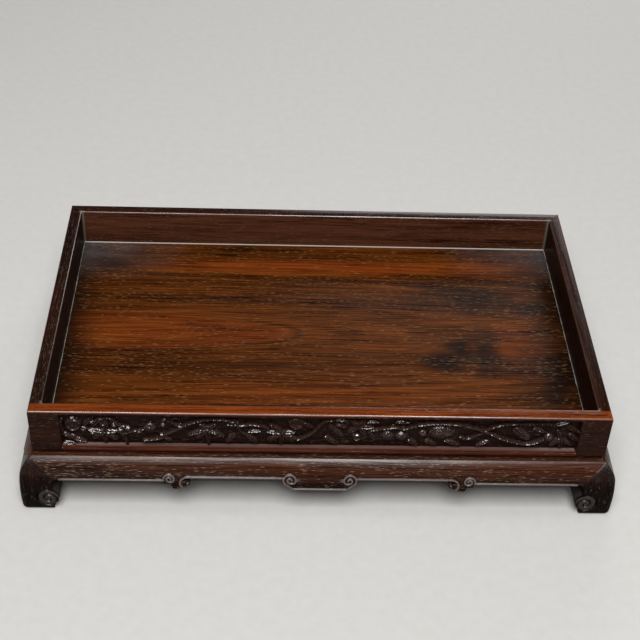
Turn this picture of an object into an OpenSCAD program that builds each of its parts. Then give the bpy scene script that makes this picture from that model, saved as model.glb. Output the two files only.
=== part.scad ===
// Chinese hardwood stand: a shallow tray of four mitred walls with sunk, carved fields,
// carried on bulging scroll-footed legs that are joined by beaded, cusped aprons.
// Millimetres, +Z up. The origin is on the ground under the centre of the tray,
// and the front faces -Y. Offsets called "out" are measured outward from the tray's walls.

/* [Tray] */
// Width of the tray over its walls
tray_w = 400; // [340:1:480]
// Depth of the tray over its walls, front to back
tray_d = 242; // [200:1:320]
// Height of the walls
wall_h = 40; // [34:0.5:60]
// Thickness of the walls
wall_t = 9; // [8:0.25:12]
// Chamfer along the rim's edges
rim_ease = 0.8; // [0.3:0.1:1.5]
// Radius of the cove along the foot of each wall
cove_r = 2.6; // [1.5:0.1:3]
// Depth of the cove into the wall
cove_in = 1.4; // [0.8:0.1:1.8]

/* [Carved field] */
// Plain wood left at each end of a carved field
field_end = 21; // [18:0.5:40]
// Plain wood left between a field and the rim
field_top = 3.5; // [2.5:0.1:6]
// Plain wood left under a field
field_low = 5.6; // [4.2:0.1:7]
// Depth of a field into its wall
field_sink = 5; // [3:0.1:5.2]

/* [Floor] */
// Height of the floor's face above the foot of the walls
floor_rise = 10.5; // [10:0.25:16]
// Thickness of the floor board
floor_t = 7; // [6:0.25:8]
// Room left round the floor board for the wood to swell
floor_gap = 0.4; // [0.2:0.05:0.8]
// Thickness of the tongue round the floor board
tongue_t = 3; // [2:0.1:3.2]
// How far the tongue stands out past the walls' inner faces
tongue_l = 2; // [1:0.1:2.4]
// Depth of the tongue below the floor's face
tongue_drop = 1.5; // [1:0.1:2]

/* [Battens] */
// Width of a batten under the floor
batten_w = 24; // [16:0.5:40]
// Height of a batten below the floor board
batten_h = 8; // [5:0.25:12]
// Depth of the dovetail into the floor board
dovetail_h = 2.2; // [1.2:0.1:2.4]
// How much each flank of the dovetail leans out
dovetail_lean = 0.8; // [0.4:0.1:1.5]
// Distance of each batten from the middle of the tray
batten_at = 100; // [60:1:140]
// Length of the batten's lap into the wall
lap_l = 5; // [3:0.25:6]
// Height of the batten's lap
lap_h = 3; // [2:0.1:3.2]

/* [Base] */
// Height of the base, from the ground to the foot of the walls
base_h = 46; // [44:0.5:60]
// Width of the fillet on top of the base
ledge = 1.5; // [1:0.1:2.5]
// Height of that fillet
ledge_h = 0.8; // [0.5:0.1:1.5]
// Greatest swell of the base beyond the walls
bulge = 10.9; // [8.5:0.1:13]
// Height of the greatest swell above the ground
bulge_z = 14; // [10:0.5:22]
// Radius of the swelling face
belly_r = 130; // [50:1:200]
// Height of the rounded shoulder above the swelling face
shoulder_h = 13; // [11:0.25:15]
// Degrees by which the shoulder turns in where it leaves the swelling face
shoulder_turn = 6; // [3:0.5:10]
// Width of the step between the shoulder and the fillet
ledge_step = 0.3; // [0.1:0.05:0.6]

/* [Aprons] */
// Height of an apron beside the leg
apron_h = 16.3; // [15:0.1:18]
// Thickness of an apron behind the wall's outer face
apron_in = 6.5; // [5.5:0.1:8]
// How much the lower edge steps up between the cusps
edge_rise = 3; // [2:0.1:4]
// How far the lappet and the cusps hang below the edge beside the leg
drop = 6.7; // [5:0.1:8]
// Width of the middle lappet along its lower edge
lappet_w = 39; // [28:0.5:50]
// Distance of the cusps from the middle of the front and rear aprons
long_cusp = 98.7; // [70:0.5:120]
// Distance of the cusps from the middle of the side aprons
side_cusp = 58; // [50:0.5:64]
// Width of a cusp, from its inner side to the middle of its volute
cusp_w = 7.1; // [6:0.1:9]
// Width of a cusp's blunt tip
tip_w = 4; // [2.5:0.1:4.5]
// Inner radius of the hook beside a cusp
hook_r = 4.6; // [3.8:0.1:5.5]
// Radius of the knob that the hook curls round
knob_r = 1.9; // [1.4:0.1:2.4]
// Radius of the volute beside a cusp
volute_r = 4.7; // [3.5:0.1:5.5]
// Radius of the volutes beside the lappet
lappet_r = 5.4; // [4.4:0.1:6]
// Width of the bead along the lower edge
bead_w = 1.5; // [1:0.1:2]
// How far the bead stands proud
bead_out = 0.6; // [0.3:0.05:1]
// Plain wood left round the bead of a volute
curl_in = 0.3; // [0.2:0.05:0.5]
// Half turns that a volute winds through
volute_turns = 3; // [2:1:4]

/* [Legs] */
// Plain wood of the leg beyond the foot of its mitre
leg_lip = 2.2; // [1.5:0.1:4]
// Radius of the scroll that the foot rolls into
scroll_r = 7.5; // [6:0.1:9.5]
// Distance of the scroll's middle inside the wall's outer face
scroll_in = 9.4; // [8:0.1:10]
// Height of the scroll's underside above the ground
scroll_up = 4.8; // [3:0.1:6]
// Distance of the foot's inner end inside the wall's outer face
foot_in = 12.5; // [10:0.1:14]
// Half turns that the scroll winds through
scroll_turns = 4; // [2:1:5]
// Radius of the rounded lower edge of the feet
foot_round = 4.5; // [3:0.1:6]
// Width of the groove that draws the scroll
groove_w = 1.2; // [0.8:0.1:1.6]
// Depth of that groove
groove_in = 0.8; // [0.4:0.05:1.2]
// Radius of the hollow between the apron and the scroll
hollow_r = 6.2; // [5:0.1:6.6]
// Swell at which the leg's outer corner starts to round off
corner_start = 6; // [4:0.1:7.5]

/* [Joints] */
// Clearance between a tenon and its mortise
fit = 0.15; // [0.05:0.01:0.3]
// Thickness of an apron's thin end behind the wall's outer face
apron_end_in = 2; // [1.5:0.1:2.5]
// Thickness of the tenons on top of a leg
leg_tenon_t = 3; // [2:0.1:3.5]
// Width of the tenons on top of a leg
leg_tenon_w = 5.5; // [4:0.1:6]
// Height of the tenons on top of a leg
leg_tenon_h = 4.4; // [3:0.1:4.8]
// Length of the key from a leg into an apron
key_l = 5; // [3:0.25:8]
// Height of that key
key_h = 8; // [5:0.25:10]
// Thickness of that key
key_t = 2.4; // [1.6:0.1:2.8]
// Wood left behind that key in the apron
key_back = 0.65; // [0.4:0.05:1]
// Depth of that key's top below the top of the base
key_down = 1.15; // [0.6:0.05:2]
// Wood left between a leg's tenons and the apron's thin end
tenon_back = 0.65; // [0.4:0.05:1]
// Number of hidden tenons in each corner of the tray
corner_tenons = 3; // [2:1:4]
// Height of a hidden corner tenon
corner_tenon_h = 5; // [3:0.25:6]
// Thickness of a hidden corner tenon
corner_tenon_t = 3; // [2:0.1:3.5]
// Wood left between a corner tenon and the outer face
corner_cover = 1.7; // [1.2:0.1:2.5]
// Diameter of a bamboo pin
pin_d = 2.4; // [1.6:0.1:3]
// Length of a pin in its apron
pin_down = 8; // [5:0.25:9]
// Length of a pin in its wall
pin_up = 3; // [2:0.1:3.4]
// Distance of the outer pins from the middle of the front and rear aprons
long_pin_at = 150; // [30:1:160]
// Distance of the pins from the middle of the side aprons
side_pin_at = 60; // [20:1:70]

/* [Hidden] */
$fn = 128;

rosewood = "#4a2216";
rosewood_floor = "#6b3219";
rosewood_leg = "#3a1c14";
bamboo = "#b89a5e";

// Cutting tools run past what they cut by this much
over = 1;
half_w = tray_w / 2;
half_d = tray_d / 2;
floor_z = base_h + floor_rise;
floor_under = floor_z - floor_t;
tongue_top = floor_z - tongue_drop;
apron_z = base_h - apron_h;
inner_z = apron_z + edge_rise;
tip_z = apron_z - drop;
// The volutes sit a little above the middle of the stepped edge
volute_lift = bead_w / 4;
volute_z = (apron_z + inner_z) / 2 + volute_lift;
volute_foot = volute_z - volute_r + volute_lift;
curl_r = volute_r - curl_in;
lappet_curl_r = lappet_r - curl_in;
lappet_at = lappet_w / 2 + lappet_r / 3;
hook_z = inner_z - hook_r;
leg_w = apron_h - ledge + leg_lip;
scroll_z = scroll_up + scroll_r;
neck_in = scroll_in + (scroll_r - groove_w) / 2;
// How far the base and its cutting tools reach outward and inward
reach = bulge + bead_out + over;
deep = leg_w + key_l + over;

// The shoulder's arc leaves the belly's arc at a slight turn and ends at the fillet's step
blend_z = base_h - shoulder_h;
// The two parts of the profile lap over each other by this much
blend_lap = shoulder_h / 8;
belly_out = bulge - belly_r;
blend_lift = blend_z - bulge_z;
blend_run = sqrt(belly_r * belly_r - blend_lift * blend_lift);
blend_out = belly_out + blend_run;
crest = [ledge + ledge_step - blend_out, shoulder_h - ledge_h];
facing_turn = asin(blend_lift / belly_r) + shoulder_turn;
facing = [cos(facing_turn), sin(facing_turn)];
shoulder_r = -(crest * crest) / (2 * (crest * facing));
shoulder_at = [blend_out, blend_z] - shoulder_r * facing;

// Middle of the foot's rounded edge, eased so that its arc crosses the belly and the ground
foot_ease = foot_round / 15;
foot_lift = bulge_z - foot_round;
foot_out = belly_out + sqrt(belly_r * belly_r - foot_lift * foot_lift);
foot_at = [foot_out - foot_round + foot_ease, foot_round - foot_ease];

// Middle of the leg tenons and of the pins, inside the wall's outer face
tenon_in = apron_end_in + tenon_back + leg_tenon_t / 2;
pin_in = apron_in / 2;
long_pins = [-long_pin_at, 0, long_pin_at];
side_pins = [-side_pin_at, side_pin_at];

// Region behind the swelling face, drawn as outward distance against height
module belly_region(grow) {
    intersection() {
        translate([belly_out, bulge_z])
            circle(r = belly_r + grow);
        translate([-deep, 0])
            square([deep + reach, base_h]);
    }
}

// The whole profile of the base: belly with a rounded lower edge, shoulder and fillet
module base_profile() {
    difference() {
        intersection() {
            belly_region(0);
            translate([-deep, 0])
                square([deep + reach, blend_z - blend_lap]);
        }
        difference() {
            translate([foot_at.x, -foot_round])
                square([reach, foot_at.y + foot_round]);
            translate(foot_at)
                circle(r = foot_round);
        }
    }
    intersection() {
        belly_region(0);
        union() {
            translate(shoulder_at)
                circle(r = shoulder_r);
            translate([-deep, 0])
                square([deep, base_h]);
        }
        translate([-deep, blend_z - 2 * blend_lap])
            square([deep + reach, shoulder_h - ledge_h + 2 * blend_lap]);
    }
    translate([-deep, base_h - ledge_h])
        square([deep + ledge, ledge_h]);
}

// Stands a drawing up so that its second axis becomes height, and runs it along Y
module run_along_y(from, to) {
    translate([0, to, 0])
        rotate([90, 0, 0])
            linear_extrude(height = to - from)
                children();
}

// Stands a drawing of (outward, height) up and runs it along X, outward towards -Y
module run_along_x(length) {
    rotate([0, 0, -90])
        run_along_y(-length / 2, length / 2)
            children();
}

// Places a front piece on each side of the tray
module to_rear() {
    rotate([0, 0, 180])
        children();
}

module to_left() {
    rotate([0, 0, -90])
        children();
}

module to_right() {
    rotate([0, 0, 90])
        children();
}

// Section of a wall: chamfered rim and a cove at the foot
module wall_section() {
    difference() {
        polygon([
            [-wall_t, 0], [0, 0], [0, wall_h - rim_ease], [-rim_ease, wall_h],
            [-wall_t + rim_ease, wall_h], [-wall_t, wall_h - rim_ease]
        ]);
        translate([cove_r - cove_in, cove_r / 2])
            circle(r = cove_r);
    }
}

// Plan of a wall with mitred ends, seen from above with its outer face at -half
module mitred_plan(half, side) {
    polygon([
        [-half, -side], [half, -side], [half - wall_t, -side + wall_t], [-half + wall_t, -side + wall_t]
    ]);
}

// Hidden tenons that reach from a side wall through the mitre into the front or rear wall
module corner_tenon_row(slack) {
    low = tongue_top + corner_tenon_h / 2;
    high = base_h + wall_h - field_top - corner_tenon_h;
    pitch = (high - low) / (corner_tenons - 1);
    for (x = [-1, 1], y = [-1, 1], i = [0 : corner_tenons - 1]) {
        z = low + i * pitch + corner_tenon_h / 2;
        size = [corner_tenon_t, wall_t, corner_tenon_h];
        translate([x * (half_w - wall_t / 2), y * (half_d - corner_cover - wall_t / 2), z])
            cube(size + 2 * slack * [1, 1, 1], center = true);
    }
}

// Tenons on top of a leg, in the leg's own corner: outward is +X and +Y
module leg_tenons(slack) {
    along = leg_w - fit - leg_tenon_w / 2;
    for (turn = [0, 1]) {
        mirror([turn, -turn, 0])
            translate([-along - leg_tenon_w / 2 - slack, -tenon_in - leg_tenon_t / 2 - slack, base_h - over])
                cube([leg_tenon_w + 2 * slack, leg_tenon_t + 2 * slack, leg_tenon_h + over + slack]);
    }
}

// Puts a leg, drawn in the rear right corner, into any corner
module in_corner(x, y) {
    mirror([x < 0 ? 1 : 0, 0, 0])
        mirror([0, y < 0 ? 1 : 0, 0])
            translate([half_w, half_d, 0])
                children();
}

module all_leg_tenons(slack) {
    for (x = [-1, 1], y = [-1, 1]) {
        in_corner(x, y)
            leg_tenons(slack);
    }
}

// Round pins that tie the aprons up to the walls
module pin_row(places, side, slack) {
    for (x = places) {
        translate([x, -side + pin_in, base_h - pin_down - slack])
            cylinder(d = pin_d + 2 * slack, h = pin_down + pin_up + 2 * slack);
    }
}

module all_pins(slack) {
    pin_row(long_pins, half_d, slack);
    to_rear()
        pin_row(long_pins, half_d, slack);
    to_left()
        pin_row(side_pins, half_w, slack);
    to_right()
        pin_row(side_pins, half_w, slack);
}

// Space for the tongue of the floor board in all four walls
module tongue_space() {
    reach_in = tongue_l + floor_gap;
    size = [tray_w - 2 * wall_t + 2 * reach_in, tray_d - 2 * wall_t + 2 * reach_in, tongue_t + 2 * fit];
    translate([0, 0, tongue_top - tongue_t / 2])
        cube(size, center = true);
}

// Batten: a bar under the floor with a dovetail into it and a thin lap into each long wall
module batten_bar(slack) {
    clear_d = tray_d - 2 * wall_t;
    foot = batten_w / 2 - dovetail_lean;
    translate([0, 0, floor_under])
        run_along_y(-clear_d / 2 + fit - slack, clear_d / 2 - fit + slack)
            polygon([
                [-batten_w / 2 - slack, dovetail_h + slack], [batten_w / 2 + slack, dovetail_h + slack],
                [foot + slack, 0], [batten_w / 2 + slack, 0], [batten_w / 2 + slack, -batten_h],
                [-batten_w / 2 - slack, -batten_h], [-batten_w / 2 - slack, 0], [-foot - slack, 0]
            ]);
    translate([0, 0, base_h + lap_h / 2])
        cube([batten_w + 2 * slack, clear_d + 2 * lap_l + 2 * slack, lap_h + 2 * slack], center = true);
}

// A wall of the front or rear pair, and of the side pair, before the joints are cut
module wall_blank(half, side) {
    field_len = 2 * (half - field_end);
    difference() {
        intersection() {
            translate([0, -side, base_h])
                run_along_x(2 * half)
                    wall_section();
            translate([0, 0, base_h])
                linear_extrude(height = wall_h)
                    mitred_plan(half, side);
        }
        translate([-field_len / 2, -side - over, base_h + field_low])
            cube([field_len, field_sink + over, wall_h - field_top - field_low]);
    }
}

module wall_joints() {
    tongue_space();
    all_leg_tenons(fit);
    all_pins(fit);
}

module long_wall() {
    difference() {
        wall_blank(half_w, half_d);
        wall_joints();
        corner_tenon_row(fit);
        for (x = [-1, 1]) {
            translate([x * batten_at, 0, 0])
                batten_bar(fit);
        }
    }
}

module front_wall() {
    color(rosewood)
        long_wall();
}

module rear_wall() {
    color(rosewood)
        to_rear()
            long_wall();
}

// The side walls carry the corner tenons
module side_wall() {
    difference() {
        union() {
            to_left()
                wall_blank(half_d, half_w);
            intersection() {
                corner_tenon_row(0);
                translate([-tray_w, -tray_d, 0])
                    cube([tray_w, 2 * tray_d, base_h + wall_h]);
            }
        }
        wall_joints();
    }
}

module left_wall() {
    color(rosewood)
        side_wall();
}

module right_wall() {
    color(rosewood)
        to_rear()
            side_wall();
}

// Floating panel: its tongue lies in the walls' grooves, with room to swell all round
module floor_board() {
    face = [tray_w - 2 * (wall_t + floor_gap), tray_d - 2 * (wall_t + floor_gap), floor_t];
    tongue = [tray_w - 2 * (wall_t - tongue_l), tray_d - 2 * (wall_t - tongue_l), tongue_t];
    color(rosewood_floor)
        difference() {
            union() {
                translate([0, 0, floor_z - floor_t / 2])
                    cube(face, center = true);
                translate([0, 0, tongue_top - tongue_t / 2])
                    cube(tongue, center = true);
            }
            for (x = [-1, 1]) {
                translate([x * batten_at, 0, 0])
                    intersection() {
                        batten_bar(fit);
                        translate([-tray_w / 2, -tray_d / 2, floor_under])
                            cube([tray_w, tray_d, floor_t]);
                    }
            }
        }
}

module left_batten() {
    color(rosewood_leg)
        translate([-batten_at, 0, 0])
            batten_bar(0);
}

module right_batten() {
    color(rosewood_leg)
        translate([batten_at, 0, 0])
            batten_bar(0);
}

// Both mirror images of what is drawn on the right
module both_sides() {
    children();
    mirror([1, 0])
        children();
}

// Face of an apron: mitred ends, a stepped lower edge, cusps with volutes and a middle lappet
module apron_face(half, cusp) {
    top = half + ledge;
    hook = cusp - hook_r - bead_w;
    volute = cusp + cusp_w;
    slant = lappet_curl_r * sqrt(1 / 2);
    difference() {
        polygon([[-top, base_h], [top, base_h], [top - apron_h, apron_z], [-top + apron_h, apron_z]]);
        translate([-hook, apron_z - over])
            square([2 * hook, edge_rise + over]);
        both_sides()
            translate([hook, hook_z])
                circle(r = hook_r);
    }
    both_sides() {
        translate([volute, volute_z])
            circle(r = volute_r);
        translate([lappet_at, volute_z])
            circle(r = lappet_r);
        translate([hook, hook_z])
            circle(r = knob_r);
        polygon([
            [hook, hook_z - knob_r], [cusp, tip_z], [cusp, hook_z + knob_r / 2], [hook, hook_z + knob_r / 2]
        ]);
        polygon([
            [cusp, tip_z], [cusp + tip_w, tip_z], [volute - bead_w, volute_foot], [volute, inner_z],
            [hook + hook_r - bead_w / 2, inner_z + over], [hook + hook_r, hook_z]
        ]);
        polygon([
            [0, tip_z], [lappet_w / 2, tip_z], [lappet_at + slant, volute_z - slant],
            [lappet_at, inner_z + over], [0, inner_z + over]
        ]);
    }
}

// A band that winds inward in half rings, clockwise from its outer end on the left
module spiral(r, band, turns) {
    heart = band / 2;
    // Rounded to a hundredth, so that the ends of the half rings meet
    step = floor((r - band - heart) / (turns - 1) * 100) / 100;
    for (i = [0 : turns - 1]) {
        low = i % 2;
        translate([low * step, 0])
            mirror([0, low])
                intersection() {
                    difference() {
                        circle(r = r - i * step);
                        circle(r = r - i * step - band);
                    }
                    translate([-r, 0])
                        square([2 * r, r]);
                }
    }
}

// The part of a ring of bead that lies inside another drawing
module ring_part(r) {
    intersection() {
        difference() {
            circle(r = r);
            circle(r = r - bead_w);
        }
        children();
    }
}

// Bead along the lower edge of an apron
module apron_bead(half, cusp) {
    hook = cusp - hook_r - bead_w;
    volute = cusp + cusp_w;
    lappet_end = lappet_at + lappet_curl_r - bead_w;
    // Where the slanting bead beside the lappet runs into its volute
    slant = (lappet_curl_r - bead_w / 2) * sqrt(1 / 2);
    slant_w = bead_w / 4;
    slant_to = [lappet_at + slant, volute_z - slant];
    both_sides() {
        translate([volute + curl_r - bead_w, apron_z])
            square([half - leg_w - volute - curl_r + bead_w, bead_w]);
        translate([volute + curl_r - bead_w, apron_z])
            square([bead_w, volute_z - apron_z]);
        translate([lappet_end, inner_z])
            square([hook - lappet_end, bead_w]);
        translate([hook, hook_z]) {
            ring_part(hook_r + bead_w)
                polygon([[0, 0], [reach, -reach], [reach, reach], [0, reach]]);
            circle(r = knob_r / 2);
        }
        translate([volute, volute_z])
            mirror([1, 0])
                spiral(curl_r, bead_w, volute_turns);
        translate([lappet_at, volute_z]) {
            mirror([1, 0])
                spiral(lappet_curl_r, bead_w, volute_turns);
            ring_part(lappet_curl_r)
                polygon([[0, 0], [reach, -2 * reach], [reach, 0]]);
        }
        polygon([
            [lappet_w / 2 - bead_w, tip_z], [lappet_w / 2, tip_z],
            slant_to + [slant_w, -slant_w], slant_to + [-slant_w, slant_w]
        ]);
    }
    translate([-lappet_w / 2, tip_z])
        square([lappet_w, bead_w]);
}

// Plan of an apron: full thickness between the legs, thin ends that lap over them,
// and tips that meet the next apron on the diagonal
module apron_plan(half, side) {
    shoulder = half - leg_w;
    inner = -side + apron_in;
    thin = -side + apron_end_in;
    corner = half - apron_end_in;
    tip = reach + apron_end_in;
    polygon([
        [-shoulder, inner], [shoulder, inner], [shoulder, thin], [corner, thin],
        [corner + tip, thin - tip], [-corner - tip, thin - tip], [-corner, thin], [-shoulder, thin]
    ]);
}

// Keys that stand out from the legs into the ends of an apron
module apron_keys(half, side, slack) {
    both_sides()
        translate([half - leg_w - key_l, -side + apron_in - key_back - key_t, base_h - key_down - key_h])
            translate([-slack, -slack, -slack])
                cube([key_l + leg_lip + slack, key_t + 2 * slack, key_h + 2 * slack]);
}

// An apron in the front place
module apron(half, side, cusp) {
    difference() {
        intersection() {
            union() {
                intersection() {
                    run_along_y(-side - reach, -side + deep)
                        apron_face(half, cusp);
                    translate([0, -side, 0])
                        run_along_x(2 * (half + reach))
                            base_profile();
                }
                intersection() {
                    run_along_y(-side - reach, -side + deep)
                        apron_bead(half, cusp);
                    translate([0, -side, 0])
                        run_along_x(2 * half)
                            belly_region(bead_out);
                }
            }
            linear_extrude(height = base_h)
                apron_plan(half, side);
        }
        apron_keys(half, side, fit);
    }
}

module long_apron() {
    difference() {
        apron(half_w, half_d, long_cusp);
        all_pins(fit);
    }
}

module side_apron() {
    difference() {
        apron(half_d, half_w, side_cusp);
        pin_row(side_pins, half_w, fit);
    }
}

module front_apron() {
    color(rosewood)
        long_apron();
}

module rear_apron() {
    color(rosewood)
        to_rear()
            long_apron();
}

module left_apron() {
    color(rosewood)
        to_left()
            side_apron();
}

module right_apron() {
    color(rosewood)
        to_right()
            side_apron();
}

// Elevation of a leg: straight beside the apron, hollowed below it, rolled into a scroll over the foot
module leg_elevation() {
    intersection() {
        base_profile();
        difference() {
            union() {
                translate([-leg_w, apron_z - hollow_r])
                    square([leg_w + reach, apron_h + hollow_r]);
                translate([-neck_in, scroll_z])
                    square([neck_in + reach, apron_z - scroll_z]);
                translate([-foot_in, 0])
                    square([foot_in + reach, scroll_z]);
                translate([-scroll_in, scroll_z])
                    circle(r = scroll_r);
            }
            translate([-leg_w - leg_lip / 2, apron_z - hollow_r])
                circle(r = hollow_r);
        }
    }
}

// Room that an apron's thin end takes from the leg, in the leg's own corner
module apron_end_space() {
    run_along_y(-apron_end_in, reach)
        polygon([
            [ledge + over, base_h + over], [ledge - apron_h, apron_z],
            [-deep, apron_z], [-deep, base_h + over]
        ]);
}

// Groove that draws the scroll on one face of the foot
module scroll_groove() {
    difference() {
        run_along_y(-scroll_in, reach)
            translate([-scroll_in, scroll_z])
                rotate(-90)
                    spiral(scroll_r - groove_w / 4, groove_w, scroll_turns);
        rotate([0, 0, 90])
            run_along_y(-reach, deep)
                belly_region(-groove_in);
    }
}

// A leg in the rear right corner, outward towards +X and +Y
module leg() {
    difference() {
        intersection() {
            run_along_y(-deep, reach)
                leg_elevation();
            rotate([0, 0, 90])
                run_along_y(-reach, deep)
                    leg_elevation();
        }
        // The outer corner is turned where the base swells past corner_start
        difference() {
            translate([corner_start, corner_start, -over])
                cube([reach, reach, base_h]);
            translate([corner_start, corner_start, 0])
                rotate_extrude(angle = 90)
                    intersection() {
                        translate([-corner_start, 0])
                            base_profile();
                        square([reach, base_h]);
                    }
        }
        for (turn = [0, 1]) {
            mirror([turn, -turn, 0]) {
                apron_end_space();
                scroll_groove();
            }
        }
    }
    leg_tenons(0);
    for (turn = [0, 1]) {
        mirror([turn, -turn, 0])
            translate([-leg_w - key_l, -apron_in + key_back, base_h - key_down - key_h])
                cube([key_l + leg_lip, key_t, key_h]);
    }
}

module front_left_leg() {
    color(rosewood_leg)
        in_corner(-1, -1)
            leg();
}

module front_right_leg() {
    color(rosewood_leg)
        in_corner(1, -1)
            leg();
}

module rear_left_leg() {
    color(rosewood_leg)
        in_corner(-1, 1)
            leg();
}

module rear_right_leg() {
    color(rosewood_leg)
        in_corner(1, 1)
            leg();
}

module bamboo_pins() {
    color(bamboo)
        all_pins(0);
}

front_wall();
rear_wall();
left_wall();
right_wall();
floor_board();
left_batten();
right_batten();
front_apron();
rear_apron();
left_apron();
right_apron();
front_left_leg();
front_right_leg();
rear_left_leg();
rear_right_leg();
bamboo_pins();
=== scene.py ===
# %% [markdown]
# # A carved hardwood display stand
# The real object is a low Chinese stand: a shallow rosewood tray with carved walls on four
# bulging legs, tied together by swelling aprons with a beaded edge. The solids come packed as
# a fixed frame. A size here is measured on that frame, taken over from its drawing, or a carver's
# own detail. We work in millimetres and turn to metres only when a mesh is made.

# %% Load the frame
import math

import bpy
import numpy as np
from mathutils import Matrix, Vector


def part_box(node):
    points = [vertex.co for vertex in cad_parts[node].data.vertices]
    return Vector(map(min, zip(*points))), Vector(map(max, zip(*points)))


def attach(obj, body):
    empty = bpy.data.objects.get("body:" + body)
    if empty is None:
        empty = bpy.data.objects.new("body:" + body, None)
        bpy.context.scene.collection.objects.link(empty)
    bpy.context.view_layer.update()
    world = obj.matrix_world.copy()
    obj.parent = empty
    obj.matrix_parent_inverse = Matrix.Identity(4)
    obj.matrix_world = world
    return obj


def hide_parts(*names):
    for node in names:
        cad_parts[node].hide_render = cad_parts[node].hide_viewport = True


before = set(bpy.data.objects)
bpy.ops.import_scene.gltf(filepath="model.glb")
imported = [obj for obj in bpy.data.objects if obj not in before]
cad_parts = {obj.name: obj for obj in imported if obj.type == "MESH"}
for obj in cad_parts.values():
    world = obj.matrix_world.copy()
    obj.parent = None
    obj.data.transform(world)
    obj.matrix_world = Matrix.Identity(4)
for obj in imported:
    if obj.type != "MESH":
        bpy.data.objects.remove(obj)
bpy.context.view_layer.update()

# %% [markdown]
# A maker starts by taking the main sizes off the workpiece. The boxes of a few nodes give the
# length, depth and heights that all the finer carving below hangs on.

# %% Take the main sizes off the frame
MM = 0.001


def node_box(name):
    """Lowest and highest corner of a node in millimetres."""
    low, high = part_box(name)
    return [v / MM for v in low], [v / MM for v in high]


wall_low, wall_high = node_box("front_wall")
half_width = wall_high[0]
half_depth = -wall_low[1]
base_top = wall_low[2]
rim = wall_high[2]
wall_thick = wall_high[1] - wall_low[1]
inner_corner = [half_width - wall_thick, half_depth - wall_thick, 0]
floor_top = node_box("floor_board")[1][2]
print("tray", 2 * half_width, "by", 2 * half_depth, "mm, rim at", rim, "floor at", floor_top)

# %% [markdown]
# The photograph was taken from the front, a little to the left of the middle, looking down at
# about forty degrees. A camera is placed by where it stands and by three turns: how far it
# tips down, how far it turns aside and how far it leans. The lens makes the field of view.

# %% Camera
CAMERA_AT = (-36.1, -760.7, 707.2)
LOOKS_DOWN = math.radians(39.953)
TURNS_RIGHT = math.radians(2.798)
LEANS = math.radians(2.711)
LENS = 73.6
SENSOR = 36.0

camera_data = bpy.data.cameras.new("camera")
camera_data.lens = LENS
camera_data.sensor_width = SENSOR
camera = bpy.data.objects.new("camera", camera_data)
bpy.context.collection.objects.link(camera)
aim = Matrix.Rotation(-TURNS_RIGHT, 4, "Z") @ Matrix.Rotation(math.pi / 2 - LOOKS_DOWN, 4, "X")
camera.matrix_world = Matrix.Translation([v * MM for v in CAMERA_AT]) @ aim @ Matrix.Rotation(LEANS, 4, "Z")
bpy.context.scene.camera = camera
bpy.context.scene.view_settings.view_transform = "Standard"
print("camera at", CAMERA_AT, "mm")

# %% [markdown]
# Materials are small networks of nodes. One helper adds a node, sets its properties and joins
# its inputs, so that each line below reads as one step of the pattern. Colours are written as
# the sRGB values a colour picker shows, and one function turns them to the linear light that
# the renderer computes with.

# %% Helpers for materials


def linear(colour):
    """Linear RGBA of an sRGB hex colour such as #6b3219."""
    parts = [int(colour[i:i + 2], 16) / 255 for i in (1, 3, 5)]
    return [v / 12.92 if v <= 0.04045 else ((v + 0.055) / 1.055) ** 2.4 for v in parts] + [1.0]


def add(tree, kind, inputs=(), stops=(), **settings):
    """Adds one shader node. Inputs are values, nodes or sockets, in order or by name."""
    node = tree.nodes.new("ShaderNode" + kind)
    for name, value in settings.items():
        setattr(node, name, value)
    for name, value in inputs.items() if isinstance(inputs, dict) else enumerate(inputs):
        if isinstance(value, bpy.types.Node):
            value = value.outputs[0]
        if isinstance(value, bpy.types.NodeSocket):
            tree.links.new(value, node.inputs[name])
        elif value is not None:
            node.inputs[name].default_value = value
    for i, (place, colour) in enumerate(stops):
        if i >= len(node.color_ramp.elements):
            node.color_ramp.elements.new(place)
        node.color_ramp.elements[i].position = place
        node.color_ramp.elements[i].color = linear(colour)
    return node


def new_material(name):
    """An empty material, its node tree and the place of a point in the object, in metres."""
    material = bpy.data.materials.new(name)
    material.use_nodes = True
    material.node_tree.nodes.clear()
    return material, material.node_tree, add(material.node_tree, "TexCoord").outputs["Object"]


# %% [markdown]
# The stand rests on a plain pale table. A flat plane does, with a faint mottle in its colour as
# matt card has.

# %% Pale table under the stand
TABLE_SIZE = 5000
CARD_MOTTLE = 40

material, tree, place = new_material("pale matt card")
scale = add(tree, "VectorMath", [place, [1 / MM / CARD_MOTTLE] * 3], operation="MULTIPLY")
mottle = add(tree, "TexNoise", {"Vector": scale, "Detail": 4.0})
shade = add(tree, "ValToRGB", [mottle], [(0.3, "#c9c7c3"), (0.7, "#cdcbc8")])
card = add(tree, "BsdfPrincipled", {"Base Color": shade, "Roughness": 0.9, "Specular IOR Level": 0.1})
add(tree, "OutputMaterial", [card])

side = TABLE_SIZE * MM / 2
table_mesh = bpy.data.meshes.new("table")
corners = [(-side, -side, 0), (side, -side, 0), (side, side, 0), (-side, side, 0)]
table_mesh.from_pydata(corners, [], [(0, 1, 2, 3)])
table = bpy.data.objects.new("table", table_mesh)
table.data.materials.append(material)
bpy.context.collection.objects.link(table)
print("table", TABLE_SIZE, "mm square")

# %% [markdown]
# The light is a plain studio: a wide soft lamp high up in front, which puts a sheen on the
# shoulders of the aprons and on the upper side of every carved stem, a weak one above the tray,
# another low behind it for the rear, and a dim surround, which waxed wood mirrors as a grey veil.

# %% Studio light
SURROUND = 0.06


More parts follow.
